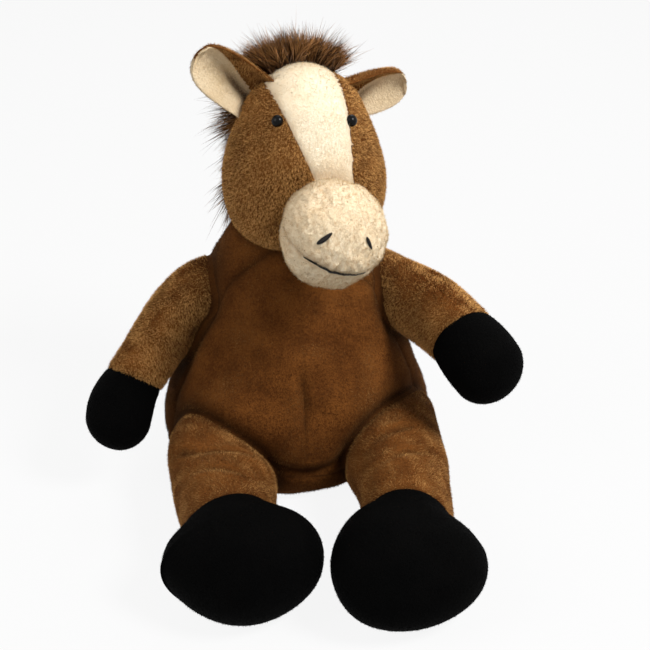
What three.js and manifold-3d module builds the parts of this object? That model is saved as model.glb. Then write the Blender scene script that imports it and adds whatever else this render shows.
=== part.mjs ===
// A seated plush horse: stuffed torso, head, arms and legs of short-pile fabric, with black hooves,
// a cream blaze and muzzle, and a mane and tail of long pile. Millimetres, +Z up, facing -Y.
// The origin is the middle of the flat seat. Left and right are the horse's own: left is +X.
import * as THREE from 'three';
import { ConvexGeometry } from 'three/addons/geometries/ConvexGeometry.js';
import { mergeVertices } from 'three/addons/utils/BufferGeometryUtils.js';
import Module from 'manifold-3d';

const wasm = await Module();
wasm.setup();

// Fabric and clearances
const CLOTH = 2;
const GAP = 0.3;
const SWING_CLEARANCE = 0.8;
const FLAT_DEPTH = 0.5;
const REACH = 900;

// Torso
const TORSO_HEIGHT = 178;
const TORSO_HALF_WIDTH = 93;
const TORSO_HALF_DEPTH = 68;
const TORSO_BASE_ROUNDING = 22;
const TORSO_TOP_ROUNDING = 14;
const TORSO_FLAT_SHARE = 0.7;
const SEAT_PANEL_HEIGHT = 22;
const SIDE_SEAM_FORWARD = 29;
const PELLET_BAG_HALF_WIDTH = 50;
const PELLET_BAG_HALF_DEPTH = 24;
const PELLET_BAG_HEIGHT = 44;
const PELLET_BAG_ROUNDING = 20;
const PELLET_BAG_BACK = 16;

// Head
const NECK_SINK = 10;
const NECK_FORWARD = 6;
const HEAD_HEIGHT = 118;
const HEAD_DROP = 5;
const HEAD_HALF_WIDTH = 51;
const HEAD_HALF_DEPTH = 52;
const HEAD_BASE_ROUNDING = 20;
const HEAD_TOP_ROUNDING = 24;
const HEAD_TURN = 12;
const HEAD_CLEARANCE = 2.5;
const BACK_SEAM_BACK = 12;
const BLAZE_TOP_HALF_WIDTH = 25;
const BLAZE_FOOT_HALF_WIDTH = 14;
const BLAZE_FOOT_SHARE = 0.49;

// Muzzle
const MUZZLE_HALF_WIDTH = 35;
const MUZZLE_SIDE = -3;
const MUZZLE_HALF_HEIGHT = 35;
const MUZZLE_HALF_DEPTH = 31;
const MUZZLE_FORWARD = 74;
const MUZZLE_HEIGHT_SHARE = 0.27;
const MOUTH_DROP = 14;
const MOUTH_HALF_SPREAD = 42;
const MOUTH_POINTS = 9;
const STITCH_RADIUS = 0.9;

// Eyes
const EYE_RADIUS = 3.6;
const EYE_SHANK_RADIUS = 1.2;
const EYE_SHANK_LENGTH = 7;
const RIGHT_EYE_HEIGHT_SHARE = 0.76;
const LEFT_EYE_HEIGHT_SHARE = 0.72;
const EYE_HALF_SPACING = 21;
const EYE_FORWARD = 30;
const EYE_RINGS = 3;
const EYE_AROUND = 10;
const WASHER_RADIUS = 4.5;
const WASHER_DEPTH = 1.2;
const WASHER_THICKNESS = 1;

// Ears
const RIGHT_EAR_LENGTH = 48;
const LEFT_EAR_LENGTH = 45;
const EAR_HALF_WIDTH = 18;
const EAR_CUP = 7;
const EAR_BASE_SIDE = 27;
const RIGHT_EAR_HEIGHT_SHARE = 0.79;
const LEFT_EAR_HEIGHT_SHARE = 0.72;
const EAR_BASE_BACK = 4;
const RIGHT_EAR_LEAN = 53;
const LEFT_EAR_LEAN = 84;
const LEFT_EAR_TWIST = 25;

// Mane and tail
const MANE_HALF_WIDTH = 38;
const MANE_HALF_THICKNESS = 15;
const MANE_SPLIT_BACK = 14;
const TAIL_LENGTH = 60;
const TAIL_ROUNDING = 10;
const TAIL_RADIUS = 13;
const TAIL_HEIGHT = 46;
const TAIL_BACK = 58;

// Arms
const ARM_LENGTH = 128;
const ARM_RADIUS = 24;
const ARM_ROOT_RADIUS = 26;
const SHOULDER_SIDE = 50;
const SHOULDER_HEIGHT = 123;
const ARM_TIP_ROUNDING = 20;
const ARM_SOCKET_REACH = 84;

// Legs
const RIGHT_LEG_LENGTH = 182;
const LEFT_LEG_LENGTH = 192;
const LEG_RADIUS = 34;
const LEG_ROOT_RADIUS = 34;
const HIP_SIDE = 54;
const HIP_FORWARD = 34;
const HIP_HEIGHT = 33;
const FOOT_HALF_WIDTH = 47;
const FOOT_HALF_HEIGHT = 35;
const LEG_TIP_ROUNDING = 32;
const LEG_SOCKET_REACH = 84;

// How far each joint turns either way, in degrees, which the torso's sockets make room for
const ARM_SWING = [-25, 45];
const LEG_SPLAY = [0, 30];
const HEAD_SWING = [-30, 30];
const TAIL_SWING = [-30, 30];
const EAR_FLOP = [-20, 20];
const SWEEP_STEP = 24;

// Rings
const TORSO_AROUND = 20;
const HEAD_AROUND = 16;
const MUZZLE_AROUND = 14;
const LIMB_AROUND = 12;
const MANE_AROUND = 10;
const CAP_RINGS = 2;

// Shares of the torso's height, half depth (forward), half width and half depth
const TORSO_SHARES = [
  [0, 0.17, 0.95, 0.96],
  [0.1, 0.17, 0.99, 1],
  [0.25, 0.14, 1, 1],
  [0.45, 0.08, 0.9, 0.91],
  [0.62, 0.02, 0.79, 0.78],
  [0.76, -0.02, 0.7, 0.67],
  [0.87, -0.04, 0.57, 0.57],
  [1, -0.04, 0.45, 0.48],
];

// Shares of the head's height, half depth (forward), half width and half depth
const HEAD_SHARES = [
  [0, 0, 0.7, 0.65],
  [0.12, 0.01, 0.9, 0.85],
  [0.27, 0.05, 1, 0.98],
  [0.42, 0.07, 1, 1],
  [0.58, 0.07, 0.91, 0.92],
  [0.72, 0.05, 0.78, 0.8],
  [0.85, 0.03, 0.64, 0.66],
  [1, 0, 0.5, 0.52],
];

// Shares of the head's height and half depth (back), then of the mane's half width and half thickness
const MANE_SHARES = [
  [0.98, -0.42, 0.6, 0.5],
  [0.99, -0.15, 0.9, 0.8],
  [0.97, 0.19, 0.95, 0.9],
  [0.84, 0.6, 1, 0.9],
  [0.6, 0.86, 1, 0.9],
  [0.34, 0.96, 0.95, 0.8],
  [0.14, 0.88, 0.8, 0.7],
  [-0.02, 0.74, 0.55, 0.5],
];

// Shares of the tail's length back and up from its root, and of its radius
const TAIL_SHARES = [
  [0, 0, 0.55],
  [0.3, -0.08, 0.85],
  [0.5, -0.33, 1],
  [0.6, -0.56, 0.8],
];

// Directions from the muzzle's middle, each as shares of the way forward: to the left, and down
const RIGHT_NOSTRIL_SHARES = [[-0.64, -0.2], [-0.5, -0.34], [-0.34, -0.38]];
const LEFT_NOSTRIL_SHARES = [[0.46, -0.34], [0.56, -0.26], [0.6, -0.1]];

// Shares of the ear's length and half width
const EAR_SHARES = [
  [0, 0.62],
  [0.16, 0.84],
  [0.38, 1],
  [0.62, 0.95],
  [0.82, 0.7],
  [0.94, 0.42],
  [1, 0.18],
];
const EAR_COLUMNS = 4;

// Shares of the arm's length outward, forward and up from the shoulder, and of its radius: the sleeve as far
// as its seam, then the hoof
const RIGHT_SLEEVE_SHARES = [
  [0.2, 0.05, -0.05, 1],
  [0.35, 0.12, -0.21, 0.88],
  [0.5, 0.23, -0.38, 0.81],
];
const RIGHT_HAND_SHARES = [
  [0.58, 0.32, -0.5, 0.93],
  [0.63, 0.41, -0.68, 0.91],
];
const LEFT_SLEEVE_SHARES = [
  [0.2, 0.18, -0.04, 0.96],
  [0.3, 0.32, -0.05, 0.92],
  [0.38, 0.45, -0.08, 0.9],
];
const LEFT_HAND_SHARES = [
  [0.46, 0.61, -0.12, 1.04],
  [0.56, 0.78, -0.2, 1],
];

// Shares of the leg's length outward, forward and up from the hip, then of its half width and half
// height: first the sleeve, whose sizes are shares of its radius, then the hoof
const LEG_SHARES = [
  [0.02, 0.3, -0.01, 1, 0.94],
  [0, 0.6, 0, 0.97, 0.92],
];
const FOOT_SHARES = [
  [-0.01, 0.7, 0, 0.9, 0.94],
  [-0.02, 0.81, 0.005, 1, 1],
  [-0.01, 1, 0.005, 0.96, 0.96],
];

const FUR = new THREE.MeshStandardMaterial({ color: 0x8a5a2c, roughness: 0.95, metalness: 0 });
const CREAM = new THREE.MeshStandardMaterial({ color: 0xf0dcb4, roughness: 0.95, metalness: 0 });
const BLACK = new THREE.MeshStandardMaterial({ color: 0x0a0908, roughness: 0.9, metalness: 0 });
const MANE = new THREE.MeshStandardMaterial({ color: 0x5a3a18, roughness: 0.85, metalness: 0 });
const LINING = new THREE.MeshStandardMaterial({ color: 0xd8c4a0, roughness: 0.95, metalness: 0 });
const STUFFING = new THREE.MeshStandardMaterial({ color: 0xf4f4f0, roughness: 1, metalness: 0 });
const PELLETS = new THREE.MeshStandardMaterial({ color: 0xc8c8c4, roughness: 0.8, metalness: 0 });
const BEAD = new THREE.MeshStandardMaterial({ color: 0x050505, roughness: 0.15, metalness: 0 });
const WASHER = new THREE.MeshStandardMaterial({ color: 0xe8e8e8, roughness: 0.4, metalness: 0 });
const THREAD = new THREE.MeshStandardMaterial({ color: 0x2a1c10, roughness: 0.8, metalness: 0 });

const X = new THREE.Vector3(1, 0, 0);
const Y = new THREE.Vector3(0, 1, 0);
const Z = new THREE.Vector3(0, 0, 1);
const FORWARD = Y.clone().negate();

// A geometry with nothing but its points, each of them once
function bare(geometry) {
  const plain = geometry.clone();
  plain.deleteAttribute('normal');
  plain.deleteAttribute('uv');
  return mergeVertices(plain);
}

// A closed solid from a geometry whose faces point out
function solid(geometry, matrix = new THREE.Matrix4()) {
  const merged = bare(geometry).applyMatrix4(matrix);
  const vertProperties = new Float32Array(merged.attributes.position.array);
  const triVerts = new Uint32Array(merged.index.array);
  return new wasm.Manifold(new wasm.Mesh({ numProp: 3, vertProperties, triVerts }));
}

function geometryOf(shape) {
  const { vertProperties, triVerts } = shape.getMesh();
  const geometry = new THREE.BufferGeometry();
  geometry.setAttribute('position', new THREE.BufferAttribute(vertProperties, 3));
  geometry.setIndex(new THREE.BufferAttribute(triVerts, 1));
  geometry.computeVertexNormals();
  return geometry;
}

function piece(name, shape, material, parent) {
  const mesh = new THREE.Mesh(geometryOf(shape), material);
  mesh.name = name;
  parent.add(mesh);
}

function indexed(points, triangles) {
  const geometry = new THREE.BufferGeometry();
  const places = points.flatMap((point) => point.toArray());
  geometry.setAttribute('position', new THREE.Float32BufferAttribute(places, 3));
  geometry.setIndex(triangles);
  return geometry;
}

// How full a form is at a share of the way into its rounded end
function roundness(share) {
  return Math.sqrt(1 - (1 - share) ** 2);
}

// Places along a length for its rings, closer together in both rounded ends
function ringPlaces(length, startRounding, endRounding, middleRings) {
  const capShares = Array.from({ length: CAP_RINGS }, (_, i) => 1 - Math.cos(((i + 1) / CAP_RINGS) * Math.PI / 2));
  const middle = length - startRounding - endRounding;
  const start = capShares.map((share) => share * startRounding);
  const between = Array.from({ length: middleRings }, (_, i) => startRounding + middle * (i + 1) / (middleRings + 1));
  const end = capShares.map((share) => length - share * endRounding).reverse();
  return [...start, ...between, ...end];
}

// Points round an ellipse that stands square to a path, with its width in the plane of a given direction
function ring({ at, along, across, width, depth, around }) {
  const side = across.clone().addScaledVector(along, -across.dot(along)).normalize();
  const up = along.clone().cross(side);
  return Array.from({ length: around }, (_, i) => {
    const angle = (i / around) * Math.PI * 2;
    return at.clone()
      .addScaledVector(side, width * Math.cos(angle))
      .addScaledVector(up, depth * Math.sin(angle));
  });
}

// A stuffed form: rings round a path of stations { at, width, depth }, rounded off at both ends, where a
// share of the start's full size stays flat
function stuffedForm({
  stations, across, around, middleRings, startRounding, endRounding, flatShare = 0,
}) {
  const path = new THREE.CatmullRomCurve3(stations.map(({ at }) => at));
  const sizePoints = stations.map(({ width, depth }) => new THREE.Vector3(width, depth, 0));
  const sizes = new THREE.CatmullRomCurve3(sizePoints, false, 'catmullrom');
  const length = path.getLength();
  const points = [path.getPointAt(0)];
  const places = ringPlaces(length, startRounding, endRounding, middleRings);
  for (const place of flatShare > 0 ? [0, ...places] : places) {
    const share = place / length;
    const size = sizes.getPoint(path.getUtoTmapping(share));
    const fromStart = flatShare + (1 - flatShare) * roundness(Math.min(1, place / startRounding));
    const fromEnd = roundness(Math.min(1, (length - place) / endRounding));
    const full = fromStart * fromEnd;
    points.push(...ring({
      at: path.getPointAt(share),
      along: path.getTangentAt(share),
      across,
      width: size.x * full,
      depth: size.y * full,
      around,
    }));
  }
  points.push(path.getPointAt(1));
  return indexed(points, ringTriangles(points.length, around));
}

// Triangles of rings of points between a first and a last point
function ringTriangles(pointCount, around) {
  const last = pointCount - 1;
  const triangles = [];
  for (let i = 0; i < around; i += 1) {
    const j = (i + 1) % around;
    triangles.push(0, 1 + j, 1 + i, last, last - around + i, last - around + j);
    for (let ring = 1; ring + around < last; ring += around) {
      triangles.push(ring + i, ring + j, ring + around + i);
      triangles.push(ring + j, ring + around + j, ring + around + i);
    }
  }
  return triangles;
}

// The form with its surface moved in by a depth, or out by a negative one
function inset(form, depth) {
  const moved = form.clone();
  moved.computeVertexNormals();
  const places = moved.attributes.position;
  const normals = moved.attributes.normal;
  for (let i = 0; i < places.count; i += 1) {
    const normal = new THREE.Vector3().fromBufferAttribute(normals, i);
    const point = new THREE.Vector3().fromBufferAttribute(places, i).addScaledVector(normal, -depth);
    places.setXYZ(i, point.x, point.y, point.z);
  }
  moved.deleteAttribute('normal');
  return moved;
}

// Everything on the far side of a plane
function beyond(point, normal, clearance = 0) {
  const box = new THREE.BoxGeometry(REACH, REACH, REACH);
  box.translate(0, 0, REACH / 2 + clearance);
  box.applyQuaternion(new THREE.Quaternion().setFromUnitVectors(Z, normal.clone().normalize()));
  box.translate(point.x, point.y, point.z);
  return solid(box);
}

// A shape cut in two along a seam, the far side first
function seamed(shape, point, normal) {
  const far = shape.intersect(beyond(point, normal, GAP / 2));
  const near = shape.intersect(beyond(point, normal.clone().negate(), GAP / 2));
  return [far, near];
}

// The turn of a joint from rest, as a matrix
function turned(pivot, axis, degrees) {
  const turn = new THREE.Matrix4().makeRotationAxis(axis, THREE.MathUtils.degToRad(degrees));
  const there = new THREE.Matrix4().makeTranslation(pivot);
  return there.clone().multiply(turn).multiply(there.clone().invert());
}

// Angles of a joint from one limit to the other, at most a step apart
function turnsOf([low, high]) {
  const steps = Math.ceil((high - low) / SWEEP_STEP);
  return Array.from({ length: steps + 1 }, (_, i) => low + (high - low) * i / steps);
}

function pointsOf(form) {
  const places = form.attributes.position;
  return Array.from({ length: places.count }, (_, i) => new THREE.Vector3().fromBufferAttribute(places, i));
}

// The room round all that some points reach as they swing on a joint
function swingRoom(points, joint, axis, range) {
  const swung = turnsOf(range).flatMap((degrees) => {
    const turn = turned(joint, axis, degrees);
    return points.map((point) => point.clone().applyMatrix4(turn));
  });
  return solid(inset(bare(new ConvexGeometry(swung)), -SWING_CLEARANCE));
}

// The room that a limb's root and near part need in the torso
function socket({ form, joint, axis, range, socketReach }) {
  const near = pointsOf(form).filter((point) => point.distanceTo(joint) < socketReach);
  return swingRoom(near, joint, axis, range);
}

// Where a ray from a point inside a form leaves it, with the surface's normal there
function surfaceAt(form, from, direction) {
  const mesh = new THREE.Mesh(form, new THREE.MeshBasicMaterial({ side: THREE.DoubleSide }));
  mesh.updateMatrixWorld();
  const [hit] = new THREE.Raycaster(from, direction.clone().normalize()).intersectObject(mesh);
  return { at: hit.point, normal: hit.face.normal };
}

const torsoForm = stuffedForm({
  stations: TORSO_SHARES.map(([up, forward, width, depth]) => ({
    at: new THREE.Vector3(0, -forward * TORSO_HALF_DEPTH, up * TORSO_HEIGHT - FLAT_DEPTH),
    width: width * TORSO_HALF_WIDTH,
    depth: depth * TORSO_HALF_DEPTH,
  })),
  across: X,
  around: TORSO_AROUND,
  middleRings: 5,
  startRounding: TORSO_BASE_ROUNDING,
  endRounding: TORSO_TOP_ROUNDING,
  flatShare: TORSO_FLAT_SHARE,
});

// In the head's own frame, with its origin at the top of the neck
const headForm = stuffedForm({
  stations: HEAD_SHARES.map(([up, forward, width, depth]) => ({
    at: new THREE.Vector3(0, -forward * HEAD_HALF_DEPTH, up * HEAD_HEIGHT - HEAD_DROP),
    width: width * HEAD_HALF_WIDTH,
    depth: depth * HEAD_HALF_DEPTH,
  })),
  across: X,
  around: HEAD_AROUND,
  middleRings: 5,
  startRounding: HEAD_BASE_ROUNDING,
  endRounding: HEAD_TOP_ROUNDING,
});

const muzzleCentre = new THREE.Vector3(MUZZLE_SIDE, -MUZZLE_FORWARD, MUZZLE_HEIGHT_SHARE * HEAD_HEIGHT);
const muzzleForm = stuffedForm({
  stations: [-1, 0, 1].map((end) => ({
    at: muzzleCentre.clone().addScaledVector(Y, end * MUZZLE_HALF_DEPTH),
    width: MUZZLE_HALF_WIDTH,
    depth: MUZZLE_HALF_HEIGHT,
  })),
  across: X,
  around: MUZZLE_AROUND,
  middleRings: 0,
  startRounding: MUZZLE_HALF_DEPTH,
  endRounding: MUZZLE_HALF_DEPTH,
});

// A limb from the round root in its socket, through its stations, to its rounded tip
function limbForm({ joint, stations, outward, rootRadius, tipRounding, across }) {
  const root = { at: joint.clone().addScaledVector(outward, -rootRadius), width: rootRadius, depth: rootRadius };
  return stuffedForm({
    stations: [root, { at: joint, width: rootRadius, depth: rootRadius }, ...stations],
    across,
    around: LIMB_AROUND,
    middleRings: 6,
    startRounding: rootRadius,
    endRounding: tipRounding,
  });
}

function arm(name, side, sleeveShares, handShares) {
  const joint = new THREE.Vector3(side * SHOULDER_SIDE, 0, SHOULDER_HEIGHT);
  const station = ([out, forward, up, radius]) => ({
    at: new THREE.Vector3(side * out, -forward, up).multiplyScalar(ARM_LENGTH).add(joint),
    width: radius * ARM_RADIUS,
    depth: radius * ARM_RADIUS,
  });
  const sleeve = sleeveShares.map(station);
  const hand = handShares.map(station);
  const stations = [...sleeve, ...hand];
  const outward = stations[0].at.clone().sub(joint).normalize();
  const hoofSeam = sleeve.at(-1).at;
  return {
    name,
    joint,
    axis: X.clone().negate(),
    range: ARM_SWING,
    socketReach: ARM_SOCKET_REACH,
    form: limbForm({
      joint, stations, outward, rootRadius: ARM_ROOT_RADIUS, tipRounding: ARM_TIP_ROUNDING, across: Z,
    }),
    hoofSeam,
    hoofWay: hand[0].at.clone().sub(hoofSeam).normalize(),
    panelNames: ['front', 'back'],
    panelNormal: hoofSeam.clone().sub(joint).cross(Z).multiplyScalar(side),
  };
}

function leg(name, side, length) {
  const joint = new THREE.Vector3(side * HIP_SIDE, -HIP_FORWARD, HIP_HEIGHT);
  const station = ([out, forward, up, width, depth], halfWidth, halfHeight) => ({
    at: new THREE.Vector3(side * out, -forward, up).multiplyScalar(length).add(joint),
    width: width * halfWidth,
    depth: depth * halfHeight,
  });
  const sleeve = LEG_SHARES.map((share) => station(share, LEG_RADIUS, LEG_RADIUS));
  const foot = FOOT_SHARES.map((share) => station(share, FOOT_HALF_WIDTH, FOOT_HALF_HEIGHT));
  return {
    name,
    joint,
    axis: Z.clone().multiplyScalar(side),
    range: LEG_SPLAY,
    socketReach: LEG_SOCKET_REACH,
    form: limbForm({
      joint,
      stations: [...sleeve, ...foot],
      outward: FORWARD,
      rootRadius: LEG_ROOT_RADIUS,
      tipRounding: LEG_TIP_ROUNDING,
      across: X,
    }),
    hoofSeam: sleeve.at(-1).at,
    hoofWay: FORWARD,
    panelNames: ['top', 'under'],
    panelNormal: Z,
  };
}

// A leaf-shaped sheet of cloth, cupped about its length, whose front face lies a depth in front of the ear's middle
function earSheet(front, length) {
  const points = [];
  for (const side of [front, front + CLOTH]) {
    for (const [up, width] of EAR_SHARES) {
      for (let i = 0; i <= EAR_COLUMNS; i += 1) {
        const across = (2 * i) / EAR_COLUMNS - 1;
        const cup = EAR_CUP * width * (1 - across * across);
        points.push(new THREE.Vector3(across * width * EAR_HALF_WIDTH, cup + side, up * length));
      }
    }
  }
  const row = EAR_COLUMNS + 1;
  const sheet = EAR_SHARES.length * row;
  const triangles = [];
  const quad = (a, b, c, d) => triangles.push(a, b, c, a, c, d);
  for (let r = 0; r + 1 < EAR_SHARES.length; r += 1) {
    for (let i = 0; i < EAR_COLUMNS; i += 1) {
      const at = r * row + i;
      quad(at, at + 1, at + row + 1, at + row);
      quad(sheet + at, sheet + at + row, sheet + at + row + 1, sheet + at + 1);
    }
    const left = r * row;
    const right = left + EAR_COLUMNS;
    quad(left, left + row, sheet + left + row, sheet + left);
    quad(right, sheet + right, sheet + right + row, right + row);
  }
  const top = sheet - row;
  for (let i = 0; i < EAR_COLUMNS; i += 1) {
    quad(i, sheet + i, sheet + i + 1, i + 1);
    quad(top + i, top + i + 1, sheet + top + i + 1, sheet + top + i);
  }
  return indexed(points, triangles);
}

const horse = new THREE.Group();
const floor = beyond(new THREE.Vector3(), Z);
const neck = new THREE.Vector3(0, -NECK_FORWARD, TORSO_HEIGHT - NECK_SINK);
const headGroup = new THREE.Group();
headGroup.position.copy(neck);
headGroup.rotation.z = THREE.MathUtils.degToRad(HEAD_TURN);
headGroup.updateMatrix();
horse.add(headGroup);

const limbs = [
  arm('right_arm', -1, RIGHT_SLEEVE_SHARES, RIGHT_HAND_SHARES),
  arm('left_arm', 1, LEFT_SLEEVE_SHARES, LEFT_HAND_SHARES),
  leg('right_leg', -1, RIGHT_LEG_LENGTH),
  leg('left_leg', 1, LEFT_LEG_LENGTH),
];

// The bowl in the top of the torso that the head's base turns in
const headRoom = stuffedForm({
  stations: HEAD_SHARES.map(([up, forward, width, depth]) => {
    const reach = Math.max(width * HEAD_HALF_WIDTH, (depth + forward) * HEAD_HALF_DEPTH);
    const radius = reach + HEAD_CLEARANCE;
    return { at: new THREE.Vector3(0, 0, up * HEAD_HEIGHT - HEAD_DROP - GAP), width: radius, depth: radius };
  }),
  across: X,
  around: HEAD_AROUND,
  middleRings: 5,
  startRounding: HEAD_BASE_ROUNDING,
  endRounding: HEAD_TOP_ROUNDING,
});
headRoom.applyMatrix4(headGroup.matrix);

// The torso, with a socket for each limb and for the head
const sockets = limbs.map(socket).reduce((all, one) => all.add(one), solid(headRoom));
const torsoSkin = solid(torsoForm)
  .subtract(solid(inset(torsoForm, CLOTH)))
  .intersect(floor)
  .subtract(sockets);
const [torsoPanels, seatPanel] = seamed(torsoSkin, new THREE.Vector3(0, 0, SEAT_PANEL_HEIGHT), Z);
const [belly, back] = seamed(torsoPanels, new THREE.Vector3(0, -SIDE_SEAM_FORWARD, 0), FORWARD);
const [leftBelly, rightBelly] = seamed(belly, new THREE.Vector3(), X);
const [leftBack, rightBack] = seamed(back, new THREE.Vector3(), X);

// The bag of pellets stands on the seat panel, in a room of the filling that is open below
const bagFloor = CLOTH - FLAT_DEPTH + GAP;
const pelletBag = stuffedForm({
  stations: [0, 0.5, 1].map((share) => ({
    at: new THREE.Vector3(0, PELLET_BAG_BACK, bagFloor + share * PELLET_BAG_HEIGHT),
    width: PELLET_BAG_HALF_WIDTH,
    depth: PELLET_BAG_HALF_DEPTH,
  })),
  across: X,
  around: LIMB_AROUND,
  middleRings: 0,
  startRounding: PELLET_BAG_ROUNDING,
  endRounding: PELLET_BAG_ROUNDING,
  flatShare: TORSO_FLAT_SHARE,
});
const torsoFilling = solid(inset(torsoForm, CLOTH + GAP))
  .subtract(sockets)
  .subtract(solid(inset(pelletBag, -GAP)));
piece('seat_panel', seatPanel, FUR, horse);
piece('left_belly_panel', leftBelly, FUR, horse);
piece('right_belly_panel', rightBelly, FUR, horse);
piece('left_back_panel', leftBack, FUR, horse);
piece('right_back_panel', rightBack, FUR, horse);
piece('torso_filling', torsoFilling, STUFFING, horse);
piece('seat_pellet_bag', solid(pelletBag), PELLETS, horse);

// Arms and legs: two sleeve panels, a hoof and the filling, clear of the floor
for (const { name, form, joint, hoofSeam, hoofWay, panelNames, panelNormal } of limbs) {
  const skin = solid(form).subtract(solid(inset(form, CLOTH))).intersect(floor);
  const [hoof, sleeve] = seamed(skin, hoofSeam, hoofWay);
  const panels = seamed(sleeve, joint, panelNormal);
  panels.forEach((panel, i) => piece(`${name}_${panelNames[i]}_panel`, panel, FUR, horse));
  piece(`${name}_hoof`, hoof, BLACK, horse);
  piece(`${name}_filling`, solid(inset(form, CLOTH + GAP)), STUFFING, horse);
}

// The head in its own frame: a skin of cheeks, blaze and back, round its filling
const headSkin = solid(headForm).subtract(solid(inset(headForm, CLOTH)));
const [backOfHead, face] = seamed(headSkin, new THREE.Vector3(0, BACK_SEAM_BACK, 0), Y);
const blazeFoot = new THREE.Vector3(BLAZE_FOOT_HALF_WIDTH, 0, BLAZE_FOOT_SHARE * HEAD_HEIGHT);
const blazeTop = new THREE.Vector3(BLAZE_TOP_HALF_WIDTH, 0, HEAD_HEIGHT);
const blazeEdge = blazeTop.clone().sub(blazeFoot).cross(Y).negate();
const [leftCheek, blazeAndRight] = seamed(face, blazeFoot, blazeEdge);
const mirrored = (point) => point.clone().setX(-point.x);
const [rightCheek, blaze] = seamed(blazeAndRight, mirrored(blazeFoot), mirrored(blazeEdge));

// The muzzle, cut by the head, with its chin below the mouth
const muzzleRoom = solid(inset(headForm, -GAP));
const muzzleSkin = solid(muzzleForm).subtract(solid(inset(muzzleForm, CLOTH))).subtract(muzzleRoom);
const mouthPoint = muzzleCentre.clone().addScaledVector(Z, -MOUTH_DROP);
const [muzzle, chin] = seamed(muzzleSkin, mouthPoint, Z);
const muzzleFilling = solid(inset(muzzleForm, CLOTH + GAP)).subtract(muzzleRoom);

// A line of directions along the seam between the muzzle and the chin, in the same shares
function mouthLine() {
  return Array.from({ length: MOUTH_POINTS }, (_, i) => {
    const angle = THREE.MathUtils.degToRad(MOUTH_HALF_SPREAD * ((2 * i) / (MOUTH_POINTS - 1) - 1));
    return [Math.tan(angle), MOUTH_DROP / MUZZLE_HALF_DEPTH / Math.cos(angle)];
  });
}

// A tube of thread along a line of directions from the muzzle's middle, lying on its surface
function stitch(directions, radius) {
  const line = directions.map(([side, down]) => {
    const direction = new THREE.Vector3(side, -1, -down);
    const { at, normal } = surfaceAt(muzzleForm, muzzleCentre, direction);
    return at.addScaledVector(normal, radius + GAP);
  });
  const section = new THREE.Shape().absellipse(0, 0, radius, radius, 0, Math.PI * 2);
  const path = new THREE.CatmullRomCurve3(line);
  const tube = new THREE.ExtrudeGeometry(section, { steps: line.length * 2, curveSegments: 3, extrudePath: path });
  return solid(tube);
}

// An eye: a bead on a shank that passes through the cheek, held inside by a lock washer
function eyeParts(side, heightShare) {
  const from = new THREE.Vector3(0, 0, heightShare * HEAD_HEIGHT);
  const ray = new THREE.Vector3(side * EYE_HALF_SPACING, -EYE_FORWARD, 0);
  const { at, normal } = surfaceAt(headForm, from, ray);
  const place = new THREE.Matrix4().compose(
    at,
    new THREE.Quaternion().setFromUnitVectors(Y, normal),
    new THREE.Vector3(1, 1, 1),
  );
  const shank = new THREE.Vector2(EYE_SHANK_RADIUS, -EYE_SHANK_LENGTH);
  const profile = [new THREE.Vector2(0, -EYE_SHANK_LENGTH), shank, new THREE.Vector2(EYE_SHANK_RADIUS, GAP)];
  for (let i = 0; i <= EYE_RINGS; i += 1) {
    const angle = (i / EYE_RINGS) * Math.PI / 2;
    profile.push(new THREE.Vector2(EYE_RADIUS * Math.cos(angle), GAP + EYE_RADIUS * Math.sin(angle)));
  }
  profile.at(-1).setX(0);
  const bead = new THREE.LatheGeometry(profile, EYE_AROUND);
  const inside = -CLOTH - WASHER_DEPTH;
  const washerProfile = [
    new THREE.Vector2(EYE_SHANK_RADIUS + GAP, inside),
    new THREE.Vector2(EYE_SHANK_RADIUS + GAP, inside - WASHER_THICKNESS),
    new THREE.Vector2(WASHER_RADIUS, inside - WASHER_THICKNESS),
    new THREE.Vector2(WASHER_RADIUS, inside),
    new THREE.Vector2(EYE_SHANK_RADIUS + GAP, inside),
  ];
  const washer = new THREE.LatheGeometry(washerProfile, EYE_AROUND);
  const hole = new THREE.CylinderGeometry(EYE_SHANK_RADIUS + GAP, EYE_SHANK_RADIUS + GAP, EYE_RADIUS * 4, EYE_AROUND);
  const room = new THREE.CylinderGeometry(WASHER_RADIUS + GAP, WASHER_RADIUS + GAP, EYE_SHANK_LENGTH * 2, EYE_AROUND);
  return {
    bead: solid(bead, place),
    washer: solid(washer, place),
    hole: solid(hole, place),
    room: solid(room, place),
  };
}

const rightEye = eyeParts(-1, RIGHT_EYE_HEIGHT_SHARE);
const leftEye = eyeParts(1, LEFT_EYE_HEIGHT_SHARE);
const eyeHoles = rightEye.hole.add(leftEye.hole);
const headFilling = solid(inset(headForm, CLOTH + GAP)).subtract(rightEye.room).subtract(leftEye.room);
piece('back_of_head_panel', backOfHead, FUR, headGroup);
piece('left_cheek_panel', leftCheek.subtract(eyeHoles), FUR, headGroup);
piece('right_cheek_panel', rightCheek.subtract(eyeHoles), FUR, headGroup);
piece('blaze_panel', blaze, CREAM, headGroup);
piece('head_filling', headFilling, STUFFING, headGroup);
piece('muzzle_panel', muzzle, CREAM, headGroup);
piece('chin_panel', chin, CREAM, headGroup);
piece('muzzle_filling', muzzleFilling, STUFFING, headGroup);
piece('right_eye', rightEye.bead, BEAD, headGroup);
piece('left_eye', leftEye.bead, BEAD, headGroup);
piece('right_eye_washer', rightEye.washer, WASHER, headGroup);
piece('left_eye_washer', leftEye.washer, WASHER, headGroup);
piece('right_nostril_stitch', stitch(RIGHT_NOSTRIL_SHARES, STITCH_RADIUS), THREAD, headGroup);
piece('left_nostril_stitch', stitch(LEFT_NOSTRIL_SHARES, STITCH_RADIUS), THREAD, headGroup);
piece('mouth_stitch', stitch(mouthLine(), STITCH_RADIUS), THREAD, headGroup);

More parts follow.
